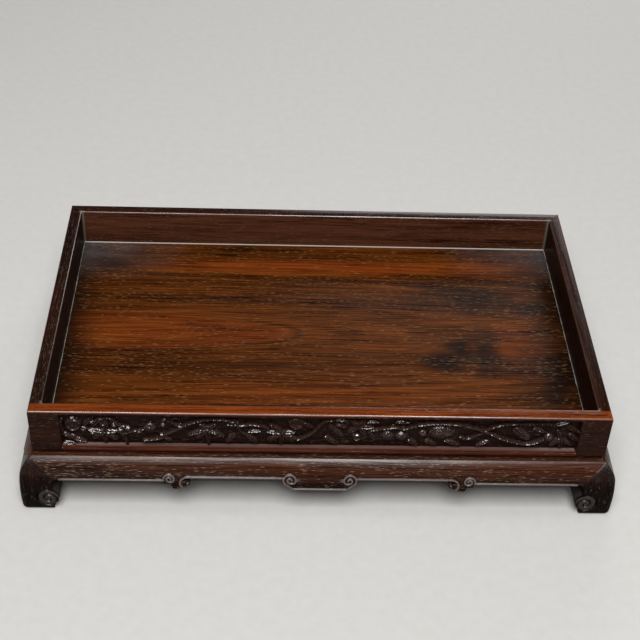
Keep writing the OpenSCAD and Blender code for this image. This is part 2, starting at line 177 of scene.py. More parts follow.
def soft_lamp(name, at, size, watts):
    """A square lamp at a point in millimetres, turned to the middle of the tray."""
    data = bpy.data.lights.new(name, "AREA")
    data.size = size * MM
    data.energy = watts
    lamp = bpy.data.objects.new(name, data)
    lamp.location = [v * MM for v in at]
    lamp.rotation_euler = (-lamp.location).to_track_quat("-Z", "Y").to_euler()
    bpy.context.collection.objects.link(lamp)


soft_lamp("high in front", (-80, -1150, 2000), 1300, 58)
soft_lamp("overhead", (60, 100, 2400), 900, 8)
soft_lamp("low behind", (500, 1700, 650), 900, 9)
world = bpy.data.worlds.new("studio")
world.use_nodes = True
world.node_tree.nodes["Background"].inputs["Color"].default_value = [1, 1, 1, 1]
world.node_tree.nodes["Background"].inputs["Strength"].default_value = SURROUND
bpy.context.scene.world = world

# %% [markdown]
# Rosewood is a dense, oily, red-brown wood. A plank shows four things: bands from the yearly
# rings, fine fibres along the grain, thin dark veins, and open pores that the plane cuts into
# short dashes, which fill with pale dust and wax. The function builds these from noise that is
# stretched along the grain. The scales are near the wood's own: rings some millimetres apart, pores
# up to five millimetres long, which is short for this wood, and a third of a millimetre wide. Real
# fibres are thinner than a tenth of a millimetre and wouldn't show, so they are drawn coarser. The
# function returns what a particular board needs to add to it.

# %% Rosewood
RING_MM = 5.0
FIBRE_LONG, FIBRE_WIDE = 42.0, 0.75
VEIN_LONG, VEIN_WIDE = 140.0, 7.0
FIGURE_LONG, FIGURE_WIDE = 190.0, 17.0
WANDER_LONG, WANDER_WIDE, WANDER_MM = 170.0, 45.0, 4.0
PORE_LONG, PORE_WIDE = 6.4, 0.41
PORE_SHIFT = 9.0
DASH_SMALL, DASH_LARGE, DASH_EDGE = 0.12, 0.40, 0.10
CROWD_DARK, CROWD_PALE, CROWD_MOST, CROWD_LEAST = 0.40, 0.62, 1.5, 0.4
RING_SHARE, FIBRE_SHARE, FIGURE_SHARE = 0.22, 0.62, 0.40
VEIN_EDGE, VEIN_DARK, VEIN_PALE = 0.03, -0.09, 0.01
TONES = (0.42, 0.53, 0.63, 0.75)
TURN_TO_GRAIN = {"X": (0, 0, 0), "Y": (0, 0, -math.pi / 2), "Z": (0, math.pi / 2, 0)}


def spots(long, wide):
    """Scale of a pattern whose spots are so long along the grain and so wide, in millimetres."""
    return [1 / long, 1 / wide, 1 / wide]


def rosewood(name, grain, colours, pith=(0, -30, 0.1), pores=0.5, shine=(0.1, 0.4, 0.4),
             polish=(0.36, 0.55)):
    """Rosewood with its grain along an axis. pith is the middle of the rings: across, down, slope."""
    material, tree, place = new_material(name)
    mm = add(tree, "Mapping", {"Vector": place, "Scale": [1 / MM] * 3})
    along = add(tree, "Mapping", {"Vector": mm, "Rotation": TURN_TO_GRAIN[grain]})
    drift = add(tree, "VectorMath", [along, spots(WANDER_LONG, WANDER_WIDE)], operation="MULTIPLY")
    drift = add(tree, "TexNoise", {"Vector": drift, "Scale": 1.0, "Detail": 2.0})
    wander = add(tree, "MapRange", [drift, 0.0, 1.0, -WANDER_MM, WANDER_MM])
    aside = add(tree, "CombineXYZ", [0.0, wander, 0.0])
    bent = add(tree, "VectorMath", [along, aside], operation="ADD")
    x, y, z = add(tree, "SeparateXYZ", [bent]).outputs
    # Distance from the pith, which slopes away along the board, so that the rings close in a tongue
    across = add(tree, "Math", [y, pith[0]], operation="SUBTRACT")
    slope = add(tree, "Math", [x, pith[2], -pith[1]], operation="MULTIPLY_ADD")
    deep = add(tree, "Math", [z, slope], operation="ADD")
    reach = add(tree, "CombineXYZ", [0.0, across, deep])
    ring = add(tree, "VectorMath", [reach], operation="LENGTH")
    ring_count = add(tree, "Math", [ring.outputs["Value"], RING_MM], operation="DIVIDE")
    rings = add(tree, "TexNoise", {"W": ring_count, "Scale": 1.0, "Detail": 3.0}, noise_dimensions="1D")
    fibre = add(tree, "VectorMath", [bent, spots(FIBRE_LONG, FIBRE_WIDE)], operation="MULTIPLY")
    fibre = add(tree, "TexNoise", {"Vector": fibre, "Scale": 1.0, "Detail": 3.0, "Roughness": 0.6})
    figure = add(tree, "VectorMath", [bent, spots(FIGURE_LONG, FIGURE_WIDE)], operation="MULTIPLY")
    figure = add(tree, "TexNoise", {"Vector": figure, "Scale": 1.0, "Detail": 2.0})
    # Thin dark veins run where a slow noise passes through its middle value
    vein = add(tree, "VectorMath", [bent, spots(VEIN_LONG, VEIN_WIDE)], operation="MULTIPLY")
    vein = add(tree, "TexNoise", {"Vector": vein, "Scale": 1.0, "Detail": 2.0})
    vein = add(tree, "Math", [vein, 0.5], operation="SUBTRACT")
    vein = add(tree, "Math", [vein], operation="ABSOLUTE")
    vein = add(tree, "MapRange", [vein, 0.0, VEIN_EDGE, VEIN_DARK, VEIN_PALE])
    tone = add(tree, "Math", [rings, RING_SHARE, vein], operation="MULTIPLY_ADD")
    tone = add(tree, "Math", [fibre, FIBRE_SHARE, tone], operation="MULTIPLY_ADD")
    tone = add(tree, "Math", [figure, FIGURE_SHARE, tone], operation="MULTIPLY_ADD")
    # Pores: one dash of its own length in each cell of a stretched pattern. Rows of cells are pushed
    # along the grain, and the wood's figure decides how many cells hold a dash
    row = add(tree, "VectorMath", [bent, [0, 1 / PORE_WIDE, 1 / PORE_WIDE]], operation="MULTIPLY")
    row = add(tree, "VectorMath", [row], operation="FLOOR")
    row = add(tree, "TexWhiteNoise", [row])
    row = add(tree, "Math", [row, PORE_SHIFT], operation="MULTIPLY")
    push = add(tree, "CombineXYZ", [row, 0.0, 0.0])
    cell = add(tree, "VectorMath", [bent, spots(PORE_LONG, PORE_WIDE), push], operation="MULTIPLY_ADD")
    cell = add(tree, "TexVoronoi", {"Vector": cell, "Scale": 1.0}, voronoi_dimensions="3D")
    chance, length, _ = add(tree, "SeparateXYZ", [cell.outputs["Color"]]).outputs
    size = add(tree, "MapRange", [length, 0.0, 1.0, DASH_SMALL, DASH_LARGE])
    dash = add(tree, "Math", [size, cell.outputs["Distance"]], operation="SUBTRACT")
    dash = add(tree, "MapRange", [dash, 0.0, DASH_EDGE, 0.0, 1.0])
    crowd = [figure, CROWD_DARK, CROWD_PALE, CROWD_MOST * pores, CROWD_LEAST * pores]
    crowd = add(tree, "MapRange", crowd)
    kept = add(tree, "Math", [chance, crowd], operation="LESS_THAN")
    pore = add(tree, "Math", [dash, kept], operation="MULTIPLY")
    colour = add(tree, "ValToRGB", [tone], list(zip(TONES, colours)))
    return {
        "material": material, "tree": tree, "mm": mm, "tone": tone, "colour": colour,
        "pore": pore, "fibre": fibre, "figure": figure, "ring": ring.outputs["Value"], "shine": shine,
        "polish": polish,
    }


# %% [markdown]
# The wax is another matter: it is rubbed bright on what leans back to meet the hand, stays dull
# on upright faces, and wears off where things are set down. So the shine has three values, for
# upright, leaning and level wood. How far a face leans is read from the upward part of its normal.

# %% Wax
GRAIN_RELIEF, GRAIN_MM = 0.15, 0.15
LEANS_FROM, LEANS_TO, LEVEL_FROM, LEVEL_TO = 0.1, 0.6, 0.85, 0.97
UPRIGHT_DULL = 0.2
# How the shine changes with the figure and the fibres: from and to in the noise, then the shares
FIGURE_SHINE = (0.36, 0.62, 1.5, 0.4)
FIBRE_SHINE = (0.36, 0.64, 0.3, 1.6)
FIBRE_LOW, FIBRE_HIGH = 0.3, 0.7


def finish_wood(wood, dust="#8f7a66", dust_share=0.5, colour=None):
    """Adds the dusty pores, the relief of the grain and the wax, and closes the material."""
    tree = wood["tree"]
    filled = add(tree, "Math", [wood["pore"], dust_share], operation="MULTIPLY")
    clean = colour or wood["colour"]
    base = add(tree, "Mix", {0: filled, 6: clean, 7: linear(dust)}, data_type="RGBA").outputs[2]
    rough = add(tree, "MapRange", [wood["fibre"], FIBRE_LOW, FIBRE_HIGH, *wood["polish"]])
    sunk = add(tree, "Math", [wood["pore"], -1.0, wood["fibre"]], operation="MULTIPLY_ADD")
    bump = add(tree, "Bump", {"Height": sunk, "Strength": GRAIN_RELIEF, "Distance": GRAIN_MM * MM})
    facing = add(tree, "NewGeometry")
    tilt = add(tree, "SeparateXYZ", [facing.outputs["Normal"]]).outputs["Z"]
    rubbed = add(tree, "MapRange", [wood["figure"], *FIGURE_SHINE])
    streak = add(tree, "MapRange", [wood["fibre"], *FIBRE_SHINE])
    rubbed = add(tree, "Math", [rubbed, streak], operation="MULTIPLY")
    upright, leaning, level = wood["shine"]
    bright = add(tree, "MapRange", [tilt, LEANS_FROM, LEANS_TO, 0.0, leaning - upright])
    on_top = add(tree, "MapRange", [tilt, LEVEL_FROM, LEVEL_TO, 0.0, level - leaning])
    bright = add(tree, "Math", [bright, on_top], operation="ADD")
    gloss = add(tree, "Math", [bright, rubbed, upright], operation="MULTIPLY_ADD")
    # Upright wood is rougher too, so that it stays dull where only the roughness is read
    dull = add(tree, "MapRange", [tilt, LEANS_FROM, LEANS_TO, UPRIGHT_DULL, 0.0])
    rough = add(tree, "Math", [rough, dull], operation="ADD")
    wax = add(tree, "BsdfPrincipled", {
        "Base Color": base, "Roughness": rough, "Normal": bump, "IOR": 1.5,
        "Specular IOR Level": gloss,
    })
    add(tree, "OutputMaterial", [wax])
    return wood["material"]


# %% [markdown]
# The floor board is the show piece: one wide board of golden brown rosewood. Its rings close in
# a tongue left of the middle, dark smoky streaks run beside it, and a knot sits right of the
# middle. Along the end walls the board is painted darker, as painted shade of those walls. Handling
# has left pale dust in the rear corners and a thin line of old wax where the board meets the walls.
# All of it is placed in millimetres.

# %% Floor board
# Dark patches: smoky streaks in the board, and, at 180 mm and more from the middle, painted shade of the end
# walls
SMOKE_AND_END_SHADE = [(-55, -38, 105, 8, 0.6), (60, 34, 110, 8, 0.4), (126, -22, 14, 36, 0.85), (119, 44, 54, 20, 0.85),
         (95, -31, 24, 15, 0.97), (108, -18, 18, 15, 0.95), (-50, 103, 60, 3, 0.8), (60, -95, 60, 5, 0.3),
         (183, -48, 44, 66, 0.97), (190, 40, 38, 76, 0.9), (-190, -30, 20, 90, 0.85), (-182, 88, 50, 22, 0.8),
         (-20, 22, 90, 6, 0.35), (40, -24, 70, 6, 0.35)]
WARM = [(10, 82, 150, 12, 0.85), (-130, 2, 75, 26, 0.5), (-20, -70, 150, 16, 0.25), (152, -8, 18, 22, 0.5)]
TONGUES = [(21.1, 1.1, 0.45), (38.5, 1.6, 0.4)]
CORE_SOFT, CORE_SHARE = 3, 0.4
CLOUD_LONG, CLOUD_WIDE = 30, 10
OVAL_RAGGED, OVAL_FULL, OVAL_GONE = 1.6, 0.9, 2.1

wood = rosewood("rosewood floor board, planed and waxed", "X",
                ("#160702", "#341604", "#4a2406", "#653410"), pith=(-2, 33.2, 0.16), pores=0.3,
                shine=(0.08, 0.1, 0.1), polish=(0.22, 0.36))
tree = wood["tree"]
flat = add(tree, "VectorMath", [wood["mm"], [1, 1, 0]], operation="MULTIPLY")
cloud = add(tree, "VectorMath", [flat, spots(CLOUD_LONG, CLOUD_WIDE)], operation="MULTIPLY")
cloud = add(tree, "TexNoise", {"Vector": cloud, "Scale": 1.0, "Detail": 4.0})


def patches(places):
    """Ragged ovals on the board: x, y, half length, half width and share of each."""
    most = 0.0
    for x, y, long, wide, share in places:
        patch = add(tree, "Mapping", {"Vector": flat, "Location": [-x / long, -y / wide, 0],
                                      "Scale": [1 / long, 1 / wide, 1]})
        far = add(tree, "VectorMath", [patch], operation="LENGTH")
        ragged = add(tree, "Math", [cloud, OVAL_RAGGED, far.outputs["Value"]], operation="MULTIPLY_ADD")
        oval = [ragged, OVAL_FULL, OVAL_GONE, share, 0.0]
        oval = add(tree, "MapRange", oval, interpolation_type="SMOOTHSTEP")
        most = add(tree, "Math", [oval, most], operation="MAXIMUM")
    return most


print(wood["material"].name)

# %% [markdown]
# Two dark growth lines close the tongues, and the wood inside the inner one is redder. The rings
# already hold the distance from the pith, so each line is a narrow range of that distance.

# %% Streaks and tongues of the floor board
dark, warm = patches(SMOKE_AND_END_SHADE), patches(WARM)
for radius, wide, share in TONGUES:
    off = add(tree, "Math", [wood["ring"], radius], operation="SUBTRACT")
    off = add(tree, "Math", [off], operation="ABSOLUTE")
    line = add(tree, "MapRange", [off, 0.0, wide, share, 0.0], interpolation_type="SMOOTHSTEP")
    dark = add(tree, "Math", [dark, line], operation="MAXIMUM")
core_r = TONGUES[0][0]
core = add(tree, "MapRange", [wood["ring"], core_r - CORE_SOFT, core_r, CORE_SHARE, 0.0])
warm = add(tree, "Math", [warm, core], operation="MAXIMUM")
glow = add(tree, "ValToRGB", [wood["tone"]], [(0.42, "#2a0d05"), (0.58, "#61270b"), (0.75, "#7f3b13")])
golden = add(tree, "Mix", {0: warm, 6: wood["colour"], 7: glow}, data_type="RGBA").outputs[2]
print("floor board:", len(SMOKE_AND_END_SHADE), "dark streaks and", len(TONGUES), "tongues")

# %% [markdown]
# The knot is an oval with ragged rings of its own round a nearly black heart. A noise that runs
# outward from its middle draws the rings, and the noise that frays the streaks frays them too.

# %% Knot of the floor board
KNOT_AT = (98, -27)
KNOT_OVAL = (0.8, 1.25, 1)
KNOT_RAGGED, KNOT_RINGS = 16.0, 0.35
HEART_MM, HEART_END_MM, KNOT_FROM, KNOT_SPREAD, KNOT_SHARE = 10.0, 22.0, 8.0, 50, 0.9
CURL_DARK, CURL_PALE, CURL_SHARE = 0.40, 0.62, 0.75

off = add(tree, "VectorMath", [flat, [*KNOT_AT, 0]], operation="SUBTRACT")
off = add(tree, "VectorMath", [off, KNOT_OVAL], operation="MULTIPLY")
far = add(tree, "VectorMath", [off], operation="LENGTH")
swirl = add(tree, "Math", [cloud, KNOT_RAGGED, far.outputs["Value"]], operation="MULTIPLY_ADD")
curl = add(tree, "TexNoise", {"W": swirl, "Scale": KNOT_RINGS, "Detail": 2.0}, noise_dimensions="1D")
curl = add(tree, "MapRange", [curl, CURL_DARK, CURL_PALE, CURL_SHARE, 0.0])
within = [swirl, KNOT_FROM, KNOT_SPREAD, KNOT_SHARE, 0.0]
within = add(tree, "MapRange", within, interpolation_type="SMOOTHSTEP")
heart = [swirl, HEART_MM, HEART_END_MM, KNOT_SHARE, 0.0]
heart = add(tree, "MapRange", heart, interpolation_type="SMOOTHSTEP")
curl = add(tree, "Math", [curl, within], operation="MULTIPLY")
dark = add(tree, "Math", [dark, curl], operation="MAXIMUM")
dark = add(tree, "Math", [dark, heart], operation="MAXIMUM")
print("knot at", KNOT_AT)

# %% [markdown]
# The painted shade at the ends, the dust in the rear corners and the line of wax all follow the
# walls, so they are placed by the distance to the nearest ones.

# %% Edges of the floor board
END_SHADE_RAGGED, END_SHADE_FULL, END_SHADE_GONE, END_SHADE_SHARE = 26.0, -14.0, 17, 0.8
DUST_REAR, DUST_END = 60.0, 90.0
LINE_MM, REAR_LINE_MM, LINE_SOFT, LINE_RAGGED, LINE_SHARE = 0.9, 1.5, 0.6, 1.2, 0.8

absolute = add(tree, "VectorMath", [flat], operation="ABSOLUTE")
room = add(tree, "VectorMath", [inner_corner, absolute], operation="SUBTRACT")
to_end, to_long, _ = add(tree, "SeparateXYZ", [room]).outputs
edge = add(tree, "Math", [to_end, to_long], operation="MINIMUM")
# Painted shade: the floor is darker along the end walls
end_room = add(tree, "Math", [cloud, -END_SHADE_RAGGED, to_end], operation="MULTIPLY_ADD")
painted_end_shade = [end_room, END_SHADE_FULL, END_SHADE_GONE, END_SHADE_SHARE, 0.0]
painted_end_shade = add(tree, "MapRange", painted_end_shade, interpolation_type="SMOOTHSTEP")
dark = add(tree, "Math", [dark, painted_end_shade], operation="MAXIMUM")
smoked_and_shaded = add(tree, "Mix", {0: dark, 6: golden, 7: linear("#120804")}, data_type="RGBA").outputs[2]
rearward = add(tree, "SeparateXYZ", [wood["mm"]]).outputs["Y"]
near_rear = add(tree, "MapRange", [rearward, DUST_REAR, inner_corner[1], 0.0, 1.0])
near_end = add(tree, "MapRange", [to_end, DUST_END, 0.0, 0.0, 1.0])
haze = add(tree, "Math", [near_rear, near_end], operation="MULTIPLY")
haze = add(tree, "Math", [haze, cloud], operation="MULTIPLY")
dusty = add(tree, "Mix", {0: haze, 6: smoked_and_shaded, 7: linear("#565559")}, data_type="RGBA").outputs[2]
ragged = add(tree, "Math", [cloud, LINE_RAGGED, edge], operation="MULTIPLY_ADD")
line = add(tree, "MapRange", [ragged, LINE_MM, LINE_MM + LINE_SOFT, LINE_SHARE, 0.0])
gap = add(tree, "Math", [inner_corner[1], rearward], operation="SUBTRACT")
behind = add(tree, "MapRange", [gap, REAR_LINE_MM, REAR_LINE_MM + LINE_SOFT, LINE_SHARE, 0.0])
line = add(tree, "Math", [line, behind], operation="MAXIMUM")
lined = add(tree, "Mix", {0: line, 6: dusty, 7: linear("#c3beb4")}, data_type="RGBA").outputs[2]
floor_finish = finish_wood(wood, "#c4955a", 0.5, lined)


def coat(node, finish):
    """Gives a CAD node another finish and leaves its shape alone."""
    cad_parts[node].data.materials.clear()
    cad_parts[node].data.materials.append(finish)


coat("floor_board", floor_finish)
print("floor board dressed")

# %% [markdown]
# The carved and shaped parts are new meshes, because a carver's rounded edges can't be had from
# plain solids. Each is a tube of rings: one ring of points per step along the piece, joined to
# the next ring by quads and closed at both ends. Values that belong to a point, such as how far
# it stands out as a ridge, go along as attributes that the finish can read.

# %% Helpers for meshes
# How far each side is turned from the front, half its length and its distance from the middle
SIDES = {"front": (0, half_width, half_depth), "rear": (180, half_width, half_depth),
         "left": (-90, half_depth, half_width), "right": (90, half_depth, half_width)}


def note(mesh, ridge, hollow):
    """Keeps the ridges and hollows with the points of a mesh and shades it smooth."""
    for label, values in (("ridge", ridge), ("hollow", hollow)):
        attribute = mesh.attributes.new(label, "FLOAT", "POINT")
        attribute.data.foreach_set("value", values.ravel().astype(np.float32))
    mesh.polygons.foreach_set("use_smooth", [True] * len(mesh.polygons))


def tube(name, rings, ridge, hollow, smooth_below=40):
    """A closed mesh from rings of points (ring, point, xyz) in millimetres."""
    count, size = rings.shape[:2]
    at = np.arange(count * size).reshape(count, size)
    beside = np.roll(at, -1, axis=1)
    quads = np.stack([at[:-1], at[1:], beside[1:], beside[:-1]], axis=-1).reshape(-1, 4)
    faces = quads.tolist() + [at[0].tolist(), at[-1][::-1].tolist()]
    mesh = bpy.data.meshes.new(name)
    mesh.from_pydata((rings.reshape(-1, 3) * MM).tolist(), [], faces)
    note(mesh, ridge, hollow)
    mesh.set_sharp_from_angle(angle=math.radians(smooth_below))
    return mesh


def dress(node, mesh, finish):
    """Puts a new piece in the place of its CAD node."""
    name = "carved_" + node
    piece = bpy.data.objects.new(name, mesh)
    bpy.context.collection.objects.link(piece)
    piece.data.materials.append(finish)
    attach(piece, "root")
    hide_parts(node)
    print(name, len(mesh.polygons), "faces")
    return piece


def to_side(along, out, height, side):
    """Points given as along a side, outward from its wall and up, as x, y, z."""
    turn, _, distance = SIDES[side]
    cos, sin = math.cos(math.radians(turn)), math.sin(math.radians(turn))
    y = -(distance + out)
    return np.stack([along * cos - y * sin, along * sin + y * cos, height], -1)


# %% [markdown]
# The carving is a vine in a sunk field: round stems that cross, sprays of narrow leaves, buds,
# fruit with a raised ring and a seeded cluster. Real carvers sink the ground first and then round
# the forms. We do the same with a height field: each form gives its height over the ground at
# every point, and the highest form wins, so that a stem passes over another one. Places are
# millimetres from the middle of the field, and up from the ground that the stand rests on.

# %% Forms of the carving
DIMPLE_MM, SEED_MM, LEAF_VEIN_MM, MIDRIB_MM = 0.9, 2.2, 2.0, 0.4


def curve_through(points, steps=14):
    """A smooth line through points. At each point it runs the way from one neighbour to the other."""
    p = np.array([points[0], *points, points[-1]], float)
    t = np.linspace(0, 1, steps, endpoint=False)[:, None]
    parts = []
    for a, b, c, d in zip(p, p[1:], p[2:], p[3:]):
        parts.append(0.5 * (2 * b + (c - a) * t + (2 * a - 5 * b + 4 * c - d) * t ** 2
                            + (3 * b - a - 3 * c + d) * t ** 3))
    return np.vstack([*parts, p[-1:]])


def stem(x, z, points, thick, tip, high):
    """A round stem that tapers from thick to tip."""
    line = curve_through(points)
    best = np.zeros_like(x)
    for i, (px, pz) in enumerate(line):
        share = i / (len(line) - 1)
        r = (thick + (tip - thick) * share) / 2
        knob = 1 + 0.12 * math.sin(9.0 * share * len(points))
        d2 = ((x - px) ** 2 + (z - pz) ** 2) / (r * knob) ** 2
        best = np.maximum(best, high * (0.75 + 0.25 * r * 2 / thick) * np.sqrt(np.clip(1 - d2, 0, 1)))
    return best


def dome(x, z, at, wide, tall, high):
    """A round bud or fruit with a dimple."""
    d2 = ((x - at[0]) / wide) ** 2 + ((z - at[1]) / tall) ** 2
    off_x, off_z = x - at[0], z - at[1] - tall * 0.55
    dimple = 0.35 * np.exp(-((off_x / DIMPLE_MM) ** 2 + (off_z / DIMPLE_MM) ** 2))
    return high * np.sqrt(np.clip(1 - d2, 0, 1)) * (1 - dimple)


def fruit(x, z, at, size, high):
    """A flat round fruit with a raised ring inside its edge."""
    r = np.hypot(x - at[0], z - at[1]) / size
    ring = 0.35 * np.exp(-((r - 0.70) / 0.13) ** 2)
    return high * (r < 1) * (0.65 * np.clip(1 - r ** 4, 0, 1) ** 0.5 + ring)


def cluster(x, z, at, wide, tall, high):
    """A rounded head of seeds in staggered rows."""
    dx, dz = x - at[0], z - at[1]
    seeds = np.cos(2 * np.pi * dx / SEED_MM) * np.cos(2 * np.pi * dz / SEED_MM)
    return high * np.sqrt(np.clip(1 - (dx / wide) ** 2 - (dz / tall) ** 2, 0, 1)) * (0.84 + 0.16 * seeds)


def leaf(x, z, at, to, wide, high):
    """A pointed leaf from one point to another, with a sunk midrib and side veins."""
    length = math.hypot(to[0] - at[0], to[1] - at[1])
    ux, uz = (to[0] - at[0]) / length, (to[1] - at[1]) / length
    along = ((x - at[0]) * ux + (z - at[1]) * uz) / length
    across = (-(x - at[0]) * uz + (z - at[1]) * ux) / (wide / 2)
    edge = np.sqrt(np.clip(np.sin(np.pi * np.clip(along, 0, 1) ** 0.8), 0, 1))
    inside = np.clip(1 - (across / np.maximum(edge, 0.05)) ** 2, 0, 1) * (edge > 0.05)
    veins = 0.03 * np.cos(2 * np.pi * (along * length / LEAF_VEIN_MM - np.abs(across) * 0.9))
    midrib = 0.36 * np.exp(-(across * wide / 2 / MIDRIB_MM) ** 2)
    return high * inside ** 0.4 * (0.90 + veins - midrib)


def spray(x, z, at, tips, wide, high):
    """Narrow leaves that spread from one point, round a small knob."""
    leaves = [leaf(x, z, at, to, wide, high) for to in tips]
    return np.maximum(np.max(leaves, axis=0), dome(x, z, at, 1.6, 1.6, high))


# %% [markdown]
# This is the vine of the front. From left to right it has a fruit, a spray of leaves and a crowd
# of buds at the left end, a stem that climbs past a bud, more sprays, and on the right a long stem
# that swings down over another one to a last bud. Some leaves hang down over the sill. Each kind of
# form has its own list, from left to right, with the places first, then the sizes and the height.

# %% The vine
GROUND_MARKS = 0.10
CARVING = [
    (fruit, [
        ((-170.5, 71), 6.5, 3.6), ((-149.7, 73.4), 3.6, 3.2), ((-17.6, 74.8), 6.4, 3.6),
        ((24.8, 62), 3.6, 3.0),
    ]),
    (dome, [
        ((-171.8, 59.6), 3.2, 2.4, 3.2), ((-170.6, 77.6), 2.6, 2.0, 3.4), ((-163.6, 66.4), 2.8, 2.8, 3.4),
        ((-157.6, 73.2), 2.6, 2.4, 3.0), ((-157.4, 62.6), 2.4, 2.2, 3.0), ((-142.4, 70.6), 2.6, 2.4, 3.4),
        ((-138.2, 66.6), 2.8, 2.4, 3.4), ((-133.3, 67.4), 2.4, 2.0, 3.2), ((-125.5, 64.6), 2.6, 2.6, 3.0),
        ((-118.2, 68.1), 4.8, 4.8, 3.6), ((-109, 71.4), 2.1, 2.1, 3.0), ((-108.3, 76), 2.1, 2.1, 3.0),
        ((70.4, 66), 3.4, 3.4, 3.4), ((158.9, 63.4), 3.6, 3.8, 3.4),
    ]),
    (cluster, [
        ((46, 63), 5.2, 4.0, 2.9), ((55.5, 62.5), 4.6, 3.6, 2.9), ((83.4, 66.3), 9.6, 5.8, 3.2),
    ]),
    (leaf, [
        ((-179, 63), (-169, 57.5), 4.8, 3.0), ((-178, 54), (-168, 51.8), 4.0, 2.6),
        ((-172, 58), (-162, 54.5), 4.8, 2.8), ((-163, 71), (-156, 79.5), 4.6, 3.2),
        ((-157, 70), (-151, 78.5), 4.4, 3.0), ((-112, 62), (-103, 56), 4.2, 2.6),
        ((-59, 64), (-66, 55), 4.6, 2.6), ((-52, 63), (-44, 55.5), 4.6, 2.8),
        ((-51, 66), (-41, 67), 3.8, 2.6), ((-12.2, 75.2), (-5.4, 70.7), 3.4, 3.2),
        ((2, 62), (12, 55), 4.4, 2.6), ((4.4, 73.8), (15.6, 62.9), 4.6, 3.2),
        ((8.5, 78.5), (18, 78), 3.4, 3.0), ((9.3, 74.4), (18, 71.5), 3.6, 3.0),
        ((30.6, 77), (40, 77.3), 3.8, 3.0), ((32, 69), (38, 59), 3.6, 3.2), ((51, 77.5), (61, 77), 3.6, 2.8),
        ((60, 60), (68, 54.5), 4.4, 2.6), ((72, 60), (81, 55), 4.4, 2.6), ((86, 60), (98, 55), 4.6, 2.8),
        ((118, 60), (108, 55), 4.4, 2.6), ((133, 72.5), (145, 61.5), 8.5, 3.0),
        ((146, 73), (156, 69), 4.6, 2.8), ((160, 76), (172, 79.8), 4.2, 3.2),
        ((169, 76.5), (179, 69.5), 4.6, 3.2), ((172, 68), (179, 61.5), 4.6, 3.0),
    ]),
    (spray, [
        ((-149.4, 64.2), [(-161, 67), (-158, 58), (-149, 53.5), (-140, 57), (-138.5, 66),
          (-147, 74)], 4.6, 3.4),
        ((-78.5, 67.7), [(-86, 60), (-84.5, 73.5), (-93, 62.5), (-67, 61.5), (-72.5, 73.5),
          (-78, 53)], 4.8, 3.5),
        ((-26.8, 65.6), [(-36.5, 74), (-38, 67), (-37.5, 58), (-28, 54), (-18.5, 57), (-17.5, 67)], 4.6, 3.5),
        ((26, 72), [(18, 67), (20, 78.5), (30, 80), (36.5, 72), (31, 64)], 4.8, 3.5),
        ((167, 63.5), [(160, 56), (168, 53.5), (176, 56.5), (163.5, 72)], 4.4, 3.2),
    ]),
    (stem, [
        ([(-177.6, 77), (-178.6, 70), (-177.4, 62)], 2.4, 1.8, 3.0),
        ([(-152, 77), (-145, 77.6), (-140, 72), (-134.7, 70)], 2.3, 1.6, 3.2),
        ([(-141, 66), (-136.8, 62), (-134, 52)], 2.3, 1.8, 3.0),
        ([(-136, 63), (-129, 65.5), (-123, 67)], 1.9, 1.5, 2.8),
        ([(-122.7, 57.3), (-111.4, 59.2), (-107.3, 63.2), (-99, 68.4), (-93.4, 72.4), (-81.4, 77.1),
          (-70, 78)], 2.2, 1.6, 3.7),
        ([(-96.7, 70.7), (-101, 72.5), (-103, 76.5), (-100.5, 78.8), (-97.5, 77.5)], 2.1, 1.3, 3.2),
        ([(-70, 78), (-65.6, 77), (-57.4, 75)], 2.1, 1.7, 3.2),
        ([(-64.8, 73), (-58.3, 71.5), (-55.8, 66.3), (-50.9, 62.9)], 2.1, 1.4, 3.0),
        ([(-62, 75), (-56.6, 72.7), (-48.4, 73.4), (-41.8, 72.3), (-36.8, 70)], 2.1, 1.6, 3.5),
        ([(-21, 63.4), (-16.7, 60), (-11.8, 61.8), (-5.3, 67.2), (-0.6, 74.2), (3.4, 78),
          (8.3, 79)], 2.2, 1.6, 3.7),
        ([(34, 69), (40, 70.3), (50.8, 72.3), (57.6, 70.7), (66.7, 75)], 1.9, 1.7, 3.2),
        ([(66.7, 75), (78.4, 76.7), (93.3, 76.2), (105.6, 73), (116, 68.3), (127.9, 62.2), (141.6, 58.2),
          (150.4, 59.7), (155, 62.7)], 2.3, 1.8, 4.0),
        ([(96.6, 63.7), (102.8, 62.4), (110.3, 66.8), (117.6, 72.5), (127, 76.2), (145, 76.8),
          (162, 76.8)], 1.9, 1.7, 3.0),
    ]),
]


def vine(x, z):
    """Height of the carving over the sunk ground, x from the middle and z up from the ground."""
    forms = [form(x, z, *sizes) for form, rows in CARVING for sizes in rows]
    marks = GROUND_MARKS * (np.sin(x * 1.9 + np.sin(z * 1.3) * 2) * np.sin(z * 2.3 + np.sin(x * 0.7) * 2))
    return np.maximum(np.max(forms, axis=0), marks)


print("vine of", sum(len(rows) for _, rows in CARVING), "forms")

# %% [markdown]
# A wall is one mitred board. Its section has a small cove at the foot, a sunk field, a sill that
# slopes to shed dust and a rim with soft edges. The rings stand across the board; where the ends
# are mitred, the rings are squeezed so that they lean with the mitre.

# %% Walls
FIELD_END, FIELD_LOW, FIELD_TOP, FIELD_SINK = 21.0, 5.6, 3.5, 5.0
SILL_RISE = 0.9
COVE_R, COVE_IN = 2.6, 1.4
RIM_R = 1.1
EDGE_SOFT = 0.35
DUST_SLOPE = 1.6
TOOL_MARKS = 0.2
GRID_H = 32
SILL_DUST_AND_LIGHT_FROM, SILL_DUST_AND_LIGHT_FULL = 65, 20
TOPS_DUST_AND_HIGHLIGHT, END_RIM_PALE = 0.12, 0.3
# Paleness of the rim, from wear and painted highlight, at the points of its section, from the outer edge to
# the inner one
RIM_WEAR_AND_HIGHLIGHT = (0.7, 0.8, 0.2, 0.0, 0.0, 0.0, 0.4, 0.9, 0.4, 0.0)


def ramp(value, start, end):
    """Smooth step from 0 at start to 1 at end."""
    t = np.clip((value - start) / (end - start), 0, 1)
    return t * t * (3 - 2 * t)


